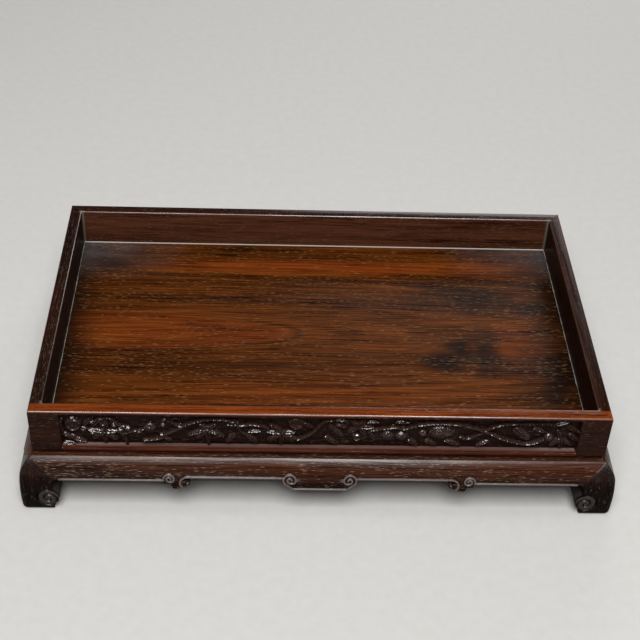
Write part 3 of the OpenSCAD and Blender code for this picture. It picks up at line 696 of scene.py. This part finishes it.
def wall(side, step, motif):
    """A carved wall. step is the spacing of the carving's grid, motif maps along-the-wall to the vine."""
    half = SIDES[side][1]
    field = half - FIELD_END
    wall_top = rim - base_top
    ends = np.linspace(field + 1.5, half, 8)
    steps = np.linspace(-field - 0.8, field + 0.8, int(2 * field / step))
    along = np.concatenate([-ends[::-1], steps, ends])
    up = np.concatenate([
        np.linspace(0, FIELD_LOW - 0.4, 9),
        np.linspace(FIELD_LOW - 0.1, FIELD_LOW + SILL_RISE + 0.6, 14),
        np.linspace(FIELD_LOW + SILL_RISE + 0.8, wall_top - FIELD_TOP + 0.6, int(GRID_H / step)),
        np.linspace(wall_top - FIELD_TOP + 1.0, wall_top - RIM_R, 4),
    ])
    s, h = np.meshgrid(along, up, indexing="ij")
    cove = np.minimum(0, COVE_R - COVE_IN - np.sqrt(np.clip(COVE_R ** 2 - (h - COVE_R / 2) ** 2, 0, None)))
    inside = 1 - ramp(np.abs(s), field - EDGE_SOFT, field + EDGE_SOFT)
    inside *= 1 - ramp(h, wall_top - FIELD_TOP - EDGE_SOFT, wall_top - FIELD_TOP + EDGE_SOFT)
    sill = np.clip((h - FIELD_LOW) / SILL_RISE, 0, 1) ** 0.8
    relief = vine(motif(s), h + base_top) * inside * sill ** 2
    gouged = np.sin(2.1 * s + 1.3 * np.sin(1.7 * h)) * np.sin(2.3 * h + 1.1 * np.sin(1.9 * s))
    relief += TOOL_MARKS * gouged * ramp(relief, 0.5, 1.2)
    face = cove - FIELD_SINK * inside * sill + relief
    corner = np.linspace(0, math.pi / 2, 5)
    back_out = np.concatenate([-RIM_R + RIM_R * np.cos(corner)[1:], [-wall_thick / 2],
                               -wall_thick + RIM_R - RIM_R * np.sin(corner), [-wall_thick, -wall_thick]])
    back_up = np.concatenate([wall_top - RIM_R + RIM_R * np.sin(corner)[1:], [wall_top],
                              wall_top - RIM_R + RIM_R * np.cos(corner), [wall_top / 2, 0]])
    back = np.ones((len(along), 1))
    out = np.hstack([face, back * back_out])
    height = np.hstack([h, back * back_up])
    place = np.repeat(along[:, None], out.shape[1], axis=1)
    beyond = np.clip((np.abs(place) - field - 1) / (half - field - 1), 0, 1)
    place = place + np.sign(place) * beyond * out
    facing_up = np.clip(-np.gradient(face, up, axis=1) / DUST_SLOPE, 0, 1)
    # The sill is painted pale, as dust and as painted light on its upward face, more towards the ends
    dust = 0.5 + 0.4 * ramp(np.abs(s), field - SILL_DUST_AND_LIGHT_FROM, field - SILL_DUST_AND_LIGHT_FULL)
    dust = dust * inside * ramp(sill, 0.3, 0.7)
    dust *= (sill < 1) * (relief < 0.3)
    # Both edges of the rim are painted pale, as wear and as painted highlight, most of all on the long walls
    rubbed = 1.0 if side in ("front", "rear") else END_RIM_PALE
    arris_wear_and_highlight = rubbed * back * np.concatenate([RIM_WEAR_AND_HIGHLIGHT, np.zeros(2)])
    # The upper sides of the carved forms are painted pale, as dust and as painted highlight
    ridge = np.hstack([np.maximum(dust, TOPS_DUST_AND_HIGHLIGHT * facing_up * ramp(relief, 0.3, 1.0)), arris_wear_and_highlight])
    hollow = np.hstack([np.clip(inside * sill - relief / 2.0, 0, 1), np.zeros(arris_wear_and_highlight.shape)])
    rings = to_side(place, out, height + base_top, side)
    return tube(side + "_wall", rings, ridge, hollow)


# %% [markdown]
# The walls are darker than the floor, with dust and painted shade in the carved ground. Their carved
# ridges, rim edges and sill are painted pale, as wear and dust with painted highlight, and the rim
# along the front is redder and brighter. The finish reads the ridge and hollow attributes.

# %% Finish of the walls
RIDGE_WEAR_AND_HIGHLIGHT, GROUND_DIRT_AND_SHADE = 0.7, 0.55
STRIP_FROM, STRIP_FULL, STRIP_SHARE = 1.6, 3.0, 0.75
CORNER_FULL, CORNER_GONE, CORNER_SHARE = 0.6, 2.2, 0.55
RIM_FROM, RIM_FULL = 1.6, 0.6


def tray_wood(name, grain):
    """Dark rosewood whose carved ground is darkened by dust and painted shade, whose ridges are painted pale
    by wear and painted highlight, and whose front rim is redder.
    """
    wood = rosewood(name, grain, ("#0d0604", "#1a0c07", "#25110a", "#35190e"), pith=(15, -70, 0.03),
                    pores=0.5, shine=(0.05, 0.9, 0.25), polish=(0.14, 0.26))
    tree = wood["tree"]
    hollow = add(tree, "Attribute", attribute_name="hollow").outputs["Fac"]
    ridge = add(tree, "Attribute", attribute_name="ridge").outputs["Fac"]
    x, y, z = add(tree, "SeparateXYZ", [wood["mm"]]).outputs
    # The inner face of the rear wall, which faces the lamp in front, is painted lighter: painted light
    behind = add(tree, "Math", [y, inner_corner[1], 0.5], operation="COMPARE")
    painted_lit_rear = add(tree, "ValToRGB", [wood["tone"]], [(0.42, "#120804"), (0.55, "#391d10"), (0.72, "#573322")])
    pale = add(tree, "Mix", {0: behind, 6: wood["colour"], 7: painted_lit_rear}, data_type="RGBA").outputs[2]
    # The strip below the carved field and its sill are lighter and redder too, where hands wipe along the
    # front
    low_strip = add(tree, "MapRange", [z, base_top + STRIP_FROM, base_top + STRIP_FULL, 0.0, STRIP_SHARE])
    strip_end = add(tree, "Math", [z, base_top + FIELD_LOW + SILL_RISE], operation="LESS_THAN")
    beside = add(tree, "Math", [x], operation="ABSOLUTE")
    beside = add(tree, "Math", [beside, half_width - FIELD_END], operation="LESS_THAN")
    strip = add(tree, "Math", [low_strip, strip_end], operation="MULTIPLY")
    strip = add(tree, "Math", [strip, beside], operation="MULTIPLY")
    ruddy = add(tree, "ValToRGB", [wood["tone"]], [(0.42, "#26100a"), (0.55, "#451d11"), (0.72, "#5b2b1b")])
    pale = add(tree, "Mix", {0: strip, 6: pale, 7: ruddy}, data_type="RGBA").outputs[2]
    # Old wax stays in the upright inner corners
    inner = add(tree, "VectorMath", [wood["mm"]], operation="ABSOLUTE")
    inner = add(tree, "VectorMath", [inner, inner_corner], operation="SUBTRACT")
    inner = add(tree, "VectorMath", [inner], operation="ABSOLUTE")
    to_end, to_long, _ = add(tree, "SeparateXYZ", [inner]).outputs
    inner = add(tree, "Math", [to_end, to_long], operation="MAXIMUM")
    inner = add(tree, "MapRange", [inner, CORNER_FULL, CORNER_GONE, CORNER_SHARE, 0.0])
    waxy = add(tree, "Mix", {0: inner, 6: pale, 7: linear("#7c7c6f")}, data_type="RGBA").outputs[2]
    # The carved ground is darkened: dust, and painted shade in its recesses
    grime_and_shade = add(tree, "Math", [hollow, GROUND_DIRT_AND_SHADE], operation="MULTIPLY")
    dirty_and_shaded = add(tree, "Mix", {0: grime_and_shade, 6: waxy, 7: linear("#0e0705")}, data_type="RGBA").outputs[2]
    # The front rim is painted redder and brighter than the rest of the wall
    near_rim = add(tree, "MapRange", [z, rim - RIM_FROM, rim - RIM_FULL, 0.0, 1.0])
    inner_face = -inner_corner[1]
    near_front = add(tree, "MapRange", [y, inner_face - RIM_FULL, inner_face - RIM_FROM, 0.0, 1.0])
    brightened_top = add(tree, "Math", [near_rim, near_front], operation="MULTIPLY")
    red = add(tree, "ValToRGB", [wood["tone"]], [(0.42, "#2b1005"), (0.55, "#5f2708"), (0.7, "#7c380d")])
    reddened = add(tree, "Mix", {0: brightened_top, 6: dirty_and_shaded, 7: red}, data_type="RGBA").outputs[2]
    # Ridges, rim edges and sill are painted pale: wear and dust with painted highlight
    wear_and_highlight = add(tree, "Math", [ridge, RIDGE_WEAR_AND_HIGHLIGHT], operation="MULTIPLY")
    rubbed = add(tree, "Mix", {0: wear_and_highlight, 6: reddened, 7: linear("#7d6a64")}, data_type="RGBA").outputs[2]
    return finish_wood(wood, "#8d7765", 0.4, rubbed)


long_wall_finish = tray_wood("dark rosewood of the long walls, carved and waxed", "X")
end_wall_finish = tray_wood("dark rosewood of the end walls, carved and waxed", "Y")
print(long_wall_finish.name, "and", end_wall_finish.name)

# %% [markdown]
# The front carries the full vine. The rear takes the same drawing, and each end wall the right
# end of the vine and its mirror image, so that the stems meet in the middle.

# %% Make the walls
FRONT_GRID, OTHER_GRID = 0.42, 0.7
end_field = half_depth - FIELD_END
front_field = half_width - FIELD_END


def whole_vine(s):
    """The drawing of the front as it is."""
    return s


def mirrored_end(s):
    """The right end of the vine and its mirror image."""
    return np.abs(s) + front_field - end_field


for side, grid in (("front", FRONT_GRID), ("rear", OTHER_GRID)):
    dress(side + "_wall", wall(side, grid, whole_vine), long_wall_finish)
for side in ("left", "right"):
    dress(side + "_wall", wall(side, OTHER_GRID, mirrored_end), end_wall_finish)

# %% [markdown]
# An apron swells outward below the tray. Its face is one long S: a fillet, a round shoulder and
# a full belly. The lower edge steps up between two cusps and drops to a lappet in the middle,
# with a bead along it that winds into volutes. Each ring of the mesh is one section of the
# apron, whose lower end follows the edge, and the bead is raised over its drawn line. The sizes
# are those of the solid's own drawing, so that the dressed apron keeps to it.

# %% Profile of the base
LEDGE, LEDGE_H, LEDGE_STEP = 1.5, 0.8, 0.3
BULGE, BULGE_Z, BELLY_R = 10.9, 14.0, 130.0
SHOULDER_H, SHOULDER_TURN = 13.0, math.radians(6)
APRON_H, APRON_IN, APRON_END_IN, EDGE_RISE, DROP = 16.3, 6.5, 2.0, 3.0, 6.7
LAPPET_W, CUSP_W, TIP_W, HOOK_R, KNOB_R = 39.0, 7.1, 4.0, 4.6, 1.9
VOLUTE_R, LAPPET_R, CURL_IN, VOLUTE_TURNS = 4.7, 5.4, 0.3, 3
BEAD_W, BEAD_OUT = 1.5, 0.8
LEG_W = 17.0
LONG_CUSP, SIDE_CUSP = 98.7, 58.0

apron_low = base_top - APRON_H
inner_low = apron_low + EDGE_RISE
tip = apron_low - DROP
hook_z = inner_low - HOOK_R
volute_z = (apron_low + inner_low) / 2 + BEAD_W / 4
lappet = LAPPET_W / 2 + LAPPET_R / 3
belly_at = BULGE - BELLY_R
blend_z = base_top - SHOULDER_H
ledge_z = base_top - LEDGE_H
blend_run = math.sqrt(BELLY_R ** 2 - (blend_z - BULGE_Z) ** 2)
turn_in = math.asin((blend_z - BULGE_Z) / BELLY_R) + SHOULDER_TURN
facing = np.array([math.cos(turn_in), math.sin(turn_in)])
crest = np.array([LEDGE + LEDGE_STEP - belly_at - blend_run, SHOULDER_H - LEDGE_H])
shoulder_r = -(crest @ crest) / (2 * (crest @ facing))
shoulder_at = np.array([belly_at + blend_run, blend_z]) - shoulder_r * facing


def swell(z):
    """How far the base stands out from the walls at a height."""
    belly = belly_at + np.sqrt(BELLY_R ** 2 - (z - BULGE_Z) ** 2)
    shoulder = shoulder_at[0] + np.sqrt(np.clip(shoulder_r ** 2 - (z - shoulder_at[1]) ** 2, 0, None))
    return np.where(z < blend_z, belly, np.where(z < ledge_z, shoulder, LEDGE))


print("shoulder of radius", round(shoulder_r, 1), "mm over a belly of", BELLY_R, "mm")

# %% [markdown]
# The lower edge is drawn from the middle outward: the lappet with its volute, the raised stretch,
# the hook with its knob, the cusp, the outer volute and the plain end.

# %% Lower edge of an apron


def round_under(s, at, r):
    """Height of the underside of a volute's disc."""
    run = np.clip(r ** 2 - (s - at) ** 2, 0, None)
    return np.where(run > 0, volute_z - np.sqrt(run), base_top)


def lower_edge(along, half, cusp):
    """Height of an apron's lower edge."""
    s = np.abs(along)
    hook, volute = cusp - HOOK_R - BEAD_W, cusp + CUSP_W
    slant = (LAPPET_R - CURL_IN) * math.sqrt(0.5)
    z = np.where(s < hook, inner_low, apron_low)
    knob = hook_z - np.sqrt(np.clip(KNOB_R ** 2 - (s - hook) ** 2, 0, None))
    z = np.where((s > hook - KNOB_R) & (s <= hook), knob, z)
    places = [hook, cusp, cusp + TIP_W, volute - BEAD_W]
    heights = [hook_z - KNOB_R, tip, tip, volute_z - VOLUTE_R + BEAD_W / 4]
    z = np.where((s > hook) & (s <= volute - BEAD_W), np.interp(s, places, heights), z)
    middle = np.interp(s, [LAPPET_W / 2, lappet + slant], [tip, volute_z - slant])
    z = np.where(s <= lappet + slant, middle, z)
    z = np.minimum(z, np.minimum(round_under(s, volute, VOLUTE_R), round_under(s, lappet, LAPPET_R)))
    return np.where(s > half + LEDGE - APRON_H, np.maximum(z, s - half - LEDGE + base_top), z)


# %% [markdown]
# The bead is a band of one width. Its spirals are half rings that close in by one pitch each, as
# a pair of compasses would draw them.

# %% Lines of the bead


def winding(r, band, turns):
    """Middle line of a spiral round the origin: half rings, from the right end over the top."""
    pitch = (r - band - band / 2) / (turns - 1)
    points = []
    for i in range(turns):
        angle = np.radians(np.linspace(0, 180, 24)) + math.pi * (i % 2)
        radius = r - band / 2 - i * pitch
        points.append(np.stack([radius * np.cos(angle) - (i % 2) * pitch, radius * np.sin(angle)], -1))
    return np.vstack(points)


def ring_part(r, start, end):
    """A stretch of a circle round the origin, between two angles in degrees."""
    angle = np.radians(np.linspace(start, end, 20))
    return r * np.stack([np.cos(angle), np.sin(angle)], -1)


def bead_lines(half, cusp):
    """The drawn lines of the bead on the right half of an apron."""
    hook, volute = cusp - HOOK_R - BEAD_W, cusp + CUSP_W
    r = BEAD_W / 2
    curl = LAPPET_R - CURL_IN
    middle = [(0, tip + r), (LAPPET_W / 2 - r, tip + r)]
    return [
        np.vstack([[(half - LEG_W - r, apron_low + r), (volute + VOLUTE_R - CURL_IN - r, apron_low + r)],
                   winding(VOLUTE_R - CURL_IN, BEAD_W, VOLUTE_TURNS) + [volute, volute_z]]),
        np.vstack([ring_part(HOOK_R + r, -45, 90) + [hook, hook_z], [(lappet + curl - r, inner_low + r)]]),
        np.vstack([middle, ring_part(curl - r, -45, 0) + [lappet, volute_z],
                   winding(curl, BEAD_W, VOLUTE_TURNS) + [lappet, volute_z]]),
        np.array([(hook, hook_z), (hook + 0.1, hook_z)]),
    ]


def distance_to(line, x, z):
    """Distance of points from a line of many short stretches."""
    best = np.full(x.shape, 1e9)
    for (ax, az), (bx, bz) in zip(line, line[1:]):
        dx, dz = bx - ax, bz - az
        t = np.clip(((x - ax) * dx + (z - az) * dz) / max(dx * dx + dz * dz, 1e-9), 0, 1)
        best = np.minimum(best, np.hypot(x - ax - t * dx, z - az - t * dz))
    return best


# %% [markdown]
# Where the edge turns sharply the rings stand close together, and elsewhere they are far apart.
# The ends are mitred: the lower edge climbs at forty-five degrees to the corner of the tray.

# %% Aprons
FINE, COARSE = 0.22, 2.5
BEAD_ROWS, FACE_ROWS = 54, 14
BEAD_ZONE = 37.5
POCKET_IN = 4.0
QUIRK_DEEP, QUIRK_OFF, QUIRK_WIDE = 0.25, 0.35, 0.3


def stations(half, cusp):
    """Places of the rings on one half of an apron."""
    hook, volute = cusp - HOOK_R - BEAD_W, cusp + CUSP_W
    busy = [(LAPPET_W / 2 - 3, lappet + LAPPET_R + 0.6), (hook - KNOB_R - 0.6, volute + VOLUTE_R + 1),
            (half + LEDGE - APRON_H - 0.5, half + LEDGE - 0.25)]
    places, last = [np.array([0.0])], 0.0
    for start, end in busy:
        places.append(np.linspace(last, start, max(2, int((start - last) / COARSE)))[1:])
        places.append(np.linspace(start, end, int((end - start) / FINE))[1:])
        last = end
    step = half - LEG_W
    return np.unique(np.concatenate(places + [[step - 0.01, step + 0.01]]))


def apron(side, cusp):
    """An apron of one side, with its bead and volutes."""
    half = SIDES[side][1]
    right = stations(half, cusp)
    along = np.concatenate([-right[:0:-1], right])
    low = lower_edge(along, half, cusp)[:, None]
    knee = np.maximum(low + (base_top - low) * 0.5, BEAD_ZONE)
    rows = np.hstack([low + (knee - low) * np.linspace(0, 1, BEAD_ROWS)[None, :],
                      knee + (ledge_z - knee) * np.linspace(0, 1, FACE_ROWS)[None, 1:],
                      np.repeat([[ledge_z + 0.02, base_top]], len(along), axis=0)])
    s = np.repeat(along[:, None], rows.shape[1], axis=1)
    near = np.full(s.shape, 1e9)
    for line in bead_lines(half, cusp):
        near = np.minimum(near, distance_to(line, np.abs(s), rows))
    bead = np.sqrt(np.clip(1 - (near / (BEAD_W / 2)) ** 2, 0, 1))
    quirk = QUIRK_DEEP * np.exp(-((near - BEAD_W / 2 - QUIRK_OFF) / QUIRK_WIDE) ** 2)
    # The opening between a hook and its knob
    hook = cusp - HOOK_R - BEAD_W
    from_hook = np.hypot(np.abs(s) - hook, rows - hook_z)
    pocket = ramp(from_hook, KNOB_R - 0.2, KNOB_R + 0.3) * (1 - ramp(from_hook, HOOK_R - 0.5, HOOK_R))
    pocket *= ramp(rows, hook_z + KNOB_R / 2 - 0.3, hook_z + KNOB_R / 2 + 0.3)
    face = swell(rows) + BEAD_OUT * bead - quirk - POCKET_IN * pocket
    inner = np.where(np.abs(along) < half - LEG_W, -APRON_IN, -APRON_END_IN)
    inner = np.maximum(inner, np.abs(along) - half)[:, None]
    share = np.linspace(0, 1, 6)
    back_out = np.hstack([face[:, -1:] + (inner - face[:, -1:]) * share[None, 1:],
                          np.repeat(inner, 5, axis=1),
                          inner + (face[:, :1] - inner) * share[None, 1:-1]])
    back_up = np.hstack([np.full((len(along), 5), base_top), base_top + (low - base_top) * share[None, 1:],
                         np.repeat(low, 4, axis=1)])
    out, height = np.hstack([face, back_out]), np.hstack([rows, back_up])
    none = np.zeros(back_out.shape)
    # The arris of the ledge is painted pale: wear and painted highlight
    arris_wear_and_highlight = 0.5 * np.exp(-((rows - ledge_z) / 0.4) ** 2)
    rings = to_side(np.repeat(along[:, None], out.shape[1], axis=1), out, height, side)
    return tube(side + "_apron", rings, np.hstack([np.maximum(bead, arris_wear_and_highlight), none]),
                np.hstack([np.clip(quirk * 3 + pocket, 0, 1), none]), 50)


# %% [markdown]
# The aprons take the light on their shoulders, where the wax is rubbed bright, and the shoulders are
# also painted a warmer, lighter brown as painted sheen. The bead and the edge of the ledge are
# painted paler than the rest, as wear and as painted highlight, and the underside of the lower edge
# is painted dark as painted shade.

# %% Finish of the aprons
BEAD_WEAR_AND_HIGHLIGHT = 0.7
UNDER_MM, UNDER_SHADE = 1.5, 0.7
SHEEN_FROM, SHEEN_TO, SHEEN_SHARE = 10, 3, 0.7
APRON_COLOURS = ("#0f0604", "#1e0d07", "#2d150b", "#412112")
SHOULDER_SHEEN_COLOURS = ("#160905", "#2d150b", "#3e1f11", "#552c19")


def apron_wood(name, grain, shine):
    """Dark rosewood with a bead painted pale by wear and painted highlight, a painted sheen on the shoulder
    and painted shade under the edge.
    """
    wood = rosewood(name, grain, APRON_COLOURS, pith=(-20, -60, 0.04), pores=0.6, shine=shine,
                    polish=(0.24, 0.36))
    tree = wood["tree"]
    z = add(tree, "SeparateXYZ", [wood["mm"]]).outputs["Z"]
    ridge = add(tree, "Attribute", attribute_name="ridge").outputs["Fac"]
    hollow = add(tree, "Attribute", attribute_name="hollow").outputs["Fac"]
    # The underside of the lower edge is painted dark: painted shade. The quirk and the opening of the hook
    # are darkened too, as painted shade and dirt
    underside_shade = add(tree, "MapRange", [z, apron_low, apron_low - UNDER_MM, 0.0, UNDER_SHADE])
    grime_and_shade = add(tree, "Math", [hollow, underside_shade], operation="MAXIMUM")
    # The round shoulder is painted a warmer, lighter brown: painted sheen
    brightened_top = [z, base_top - SHEEN_FROM, base_top - SHEEN_TO, 0.0, SHEEN_SHARE]
    brightened_top = add(tree, "MapRange", brightened_top)
    warm = add(tree, "ValToRGB", [wood["tone"]], list(zip(TONES, SHOULDER_SHEEN_COLOURS)))
    brown = add(tree, "Mix", {0: brightened_top, 6: wood["colour"], 7: warm}, data_type="RGBA").outputs[2]
    dirty_and_shaded = add(tree, "Mix", {0: grime_and_shade, 6: brown, 7: linear("#080504")}, data_type="RGBA").outputs[2]
    # The bead and the ledge's arris are painted pale: wear and painted highlight
    wear_and_highlight = add(tree, "Math", [ridge, BEAD_WEAR_AND_HIGHLIGHT], operation="MULTIPLY")
    rubbed = add(tree, "Mix", {0: wear_and_highlight, 6: dirty_and_shaded, 7: linear("#786f6b")}, data_type="RGBA").outputs[2]
    return finish_wood(wood, "#b79c80", 0.55, rubbed)


long_apron_finish = apron_wood("dark rosewood of the long aprons, shaped and waxed", "X", (0.04, 0.36, 0.2))
end_apron_finish = apron_wood("dark rosewood of the end aprons, shaped and waxed", "Y", (0.02, 0.06, 0.06))
for side in ("front", "rear"):
    dress(side + "_apron", apron(side, LONG_CUSP), long_apron_finish)
for side in ("left", "right"):
    dress(side + "_apron", apron(side, SIDE_CUSP), end_apron_finish)

# %% [markdown]
# A leg bulges with the aprons and rolls into a scroll. Its solid already has the form, so we
# copy that mesh, turn it into an even skin of small faces and relax it, which rounds every edge
# as scraping and waxing do. Then the spiral on its two outer faces is cut deeper and the wood
# between its turns is rounded, as a carver does with a gouge.

# %% Legs
SKIN_MM = 0.38
RELAX_STEPS = 2
SCROLL_R, SCROLL_IN, SCROLL_UP, SCROLL_TURNS, GROOVE_W = 7.5, 9.4, 4.8, 4, 1.2
CARVED_R = 8.5
GOUGE_WIDE, GOUGE_DEEP, ROLL_UP = 0.75, 1.3, 0.3
BARREL_HIGHLIGHT = 0.7


def carve_scroll(mesh):
    """Cuts the spiral into both outer faces of a leg and notes its ridges and hollows."""
    flat = np.empty(len(mesh.vertices) * 3, np.float32)
    mesh.vertices.foreach_get("co", flat)
    points = flat.reshape(-1, 3).astype(float) / MM
    heart = np.array([-SCROLL_IN, SCROLL_UP + SCROLL_R])
    spiral = winding(CARVED_R, GROOVE_W, SCROLL_TURNS)[:, ::-1] + heart
    ridge, hollow = np.zeros(len(points)), np.zeros(len(points))
    z = points[:, 2]
    for axis, half, across, other in ((1, half_depth, 0, half_width), (0, half_width, 1, half_depth)):
        out = np.abs(points[:, axis]) - half
        along = np.abs(points[:, across]) - other
        on_face = ramp(out - swell(z), -2.2, -1.2) * (z < apron_low)
        from_heart = np.hypot(along - heart[0], z - heart[1])
        # The square groove of the solid is filled first, because the gouge runs a little wider
        fill = on_face * (1 - ramp(from_heart, SCROLL_R - 0.3, SCROLL_R - 0.1)) * (swell(z) - out)
        gouge = np.exp(-(distance_to(spiral, along, z) / GOUGE_WIDE) ** 2) * on_face
        rolled = on_face * (1 - ramp(from_heart, SCROLL_R - 0.4, SCROLL_R))
        shift = fill + ROLL_UP * rolled * (1 - gouge) - GOUGE_DEEP * gouge
        points[:, axis] += np.sign(points[:, axis]) * shift
        # The roll of the scroll behind that face, which gets a painted highlight too
        barrel = (1 - ramp(np.abs(from_heart - SCROLL_R), 0.3, 0.9)) * (1 - on_face)
        barrel *= (along < heart[0] + SCROLL_R / 2) * (z < apron_low - 1)
        hollow = np.maximum(hollow, gouge)
        ridge = np.maximum(ridge, np.maximum(rolled * (1 - gouge), BARREL_HIGHLIGHT * barrel))
    mesh.vertices.foreach_set("co", (points * MM).astype(np.float32).ravel())
    note(mesh, ridge, hollow)


# %% [markdown]
# The even skin comes from small cubes, a voxel remesh, because a bevel is hard to fit where so many
# curved edges meet. The legs are nearly black at the feet and browner up to the shoulder. The ridges
# of the scroll and the top of its roll are painted grey, as wear and as painted highlight, and its
# gouged grooves are painted dark, as dirt and painted shade.

# %% Make the legs
LEG_DARK_BELOW, LEG_BROWN_AT, LEG_BROWN, SCROLL_WEAR_AND_HIGHLIGHT = 22.0, 4, 0.35, 0.5


def softened(node):
    """A copy of a node's mesh with an even skin and soft edges."""
    rough = bpy.data.objects.new("rough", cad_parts[node].data.copy())
    bpy.context.collection.objects.link(rough)
    weld = rough.modifiers.new("weld", "WELD")
    weld.merge_threshold = 0.005 * MM
    skin = rough.modifiers.new("skin", "REMESH")
    skin.mode = "VOXEL"
    skin.voxel_size = SKIN_MM * MM
    relax = rough.modifiers.new("relax", "SMOOTH")
    relax.factor = 0.5
    relax.iterations = RELAX_STEPS
    mesh = bpy.data.meshes.new_from_object(rough.evaluated_get(bpy.context.evaluated_depsgraph_get()))
    bpy.data.objects.remove(rough)
    mesh.name = node
    mesh.materials.clear()
    carve_scroll(mesh)
    return mesh


wood = rosewood("dark rosewood of the legs, carved and waxed", "Z",
                ("#050303", "#090505", "#0e0807", "#160d0a"), pith=(-180, -100, 0.05), pores=0.5,
                shine=(0.03, 0.5, 0.5), polish=(0.26, 0.4))
tree = wood["tree"]
z = add(tree, "SeparateXYZ", [wood["mm"]]).outputs["Z"]
upper = add(tree, "MapRange", [z, LEG_DARK_BELOW, base_top - LEG_BROWN_AT, 0.0, LEG_BROWN])
brown = add(tree, "ValToRGB", [wood["tone"]], list(zip(TONES, APRON_COLOURS)))
shaded = add(tree, "Mix", {0: upper, 6: wood["colour"], 7: brown}, data_type="RGBA").outputs[2]
hollow = add(tree, "Attribute", attribute_name="hollow").outputs["Fac"]
ridge = add(tree, "Attribute", attribute_name="ridge").outputs["Fac"]
# The gouged grooves are darkened: dirt and painted shade
dirty_and_shaded = add(tree, "Mix", {0: hollow, 6: shaded, 7: linear("#040303")}, data_type="RGBA").outputs[2]
# The ridges of the scroll are painted grey: wear and painted highlight
wear_and_highlight = add(tree, "Math", [ridge, SCROLL_WEAR_AND_HIGHLIGHT], operation="MULTIPLY")
rubbed = add(tree, "Mix", {0: wear_and_highlight, 6: dirty_and_shaded, 7: linear("#4c4542")}, data_type="RGBA").outputs[2]
leg_finish = finish_wood(wood, "#85756a", 0.4, rubbed)
for leg in ("front_left_leg", "front_right_leg", "rear_left_leg", "rear_right_leg"):
    dress(leg, softened(leg), leg_finish)

# %% [markdown]
# Under the tray, two battens keep the floor board flat and bamboo pins tie the aprons to the
# walls. Their solids are right as they are, so they only get a finish: unwaxed rosewood, and
# split bamboo with its fine straight fibres.

# %% Battens and pins
wood = rosewood("rosewood of the battens, planed and left unwaxed", "Y",
                ("#2a1710", "#3d2417", "#4d2f1e", "#5e3c27"), pith=(90, -40, 0.02),
                shine=(0.1, 0.2, 0.2), polish=(0.6, 0.75))
batten_finish = finish_wood(wood)
for node in ("left_batten", "right_batten"):
    coat(node, batten_finish)

BAMBOO_WIDE, BAMBOO_LONG = 0.5, 50.0

material, tree, place = new_material("split bamboo, shaved round")
fibre = [1 / MM / BAMBOO_WIDE, 1 / MM / BAMBOO_WIDE, 1 / MM / BAMBOO_LONG]
fibre = add(tree, "VectorMath", [place, fibre], operation="MULTIPLY")
fibre = add(tree, "TexNoise", {"Vector": fibre, "Scale": 1.0, "Detail": 2.0})
shade = add(tree, "ValToRGB", [fibre], [(0.35, "#8f7440"), (0.65, "#c2a468")])
skin = add(tree, "BsdfPrincipled", {"Base Color": shade, "Roughness": 0.55, "IOR": 1.5})
add(tree, "OutputMaterial", [skin])
coat("bamboo_pins", material)
print("battens and pins dressed")
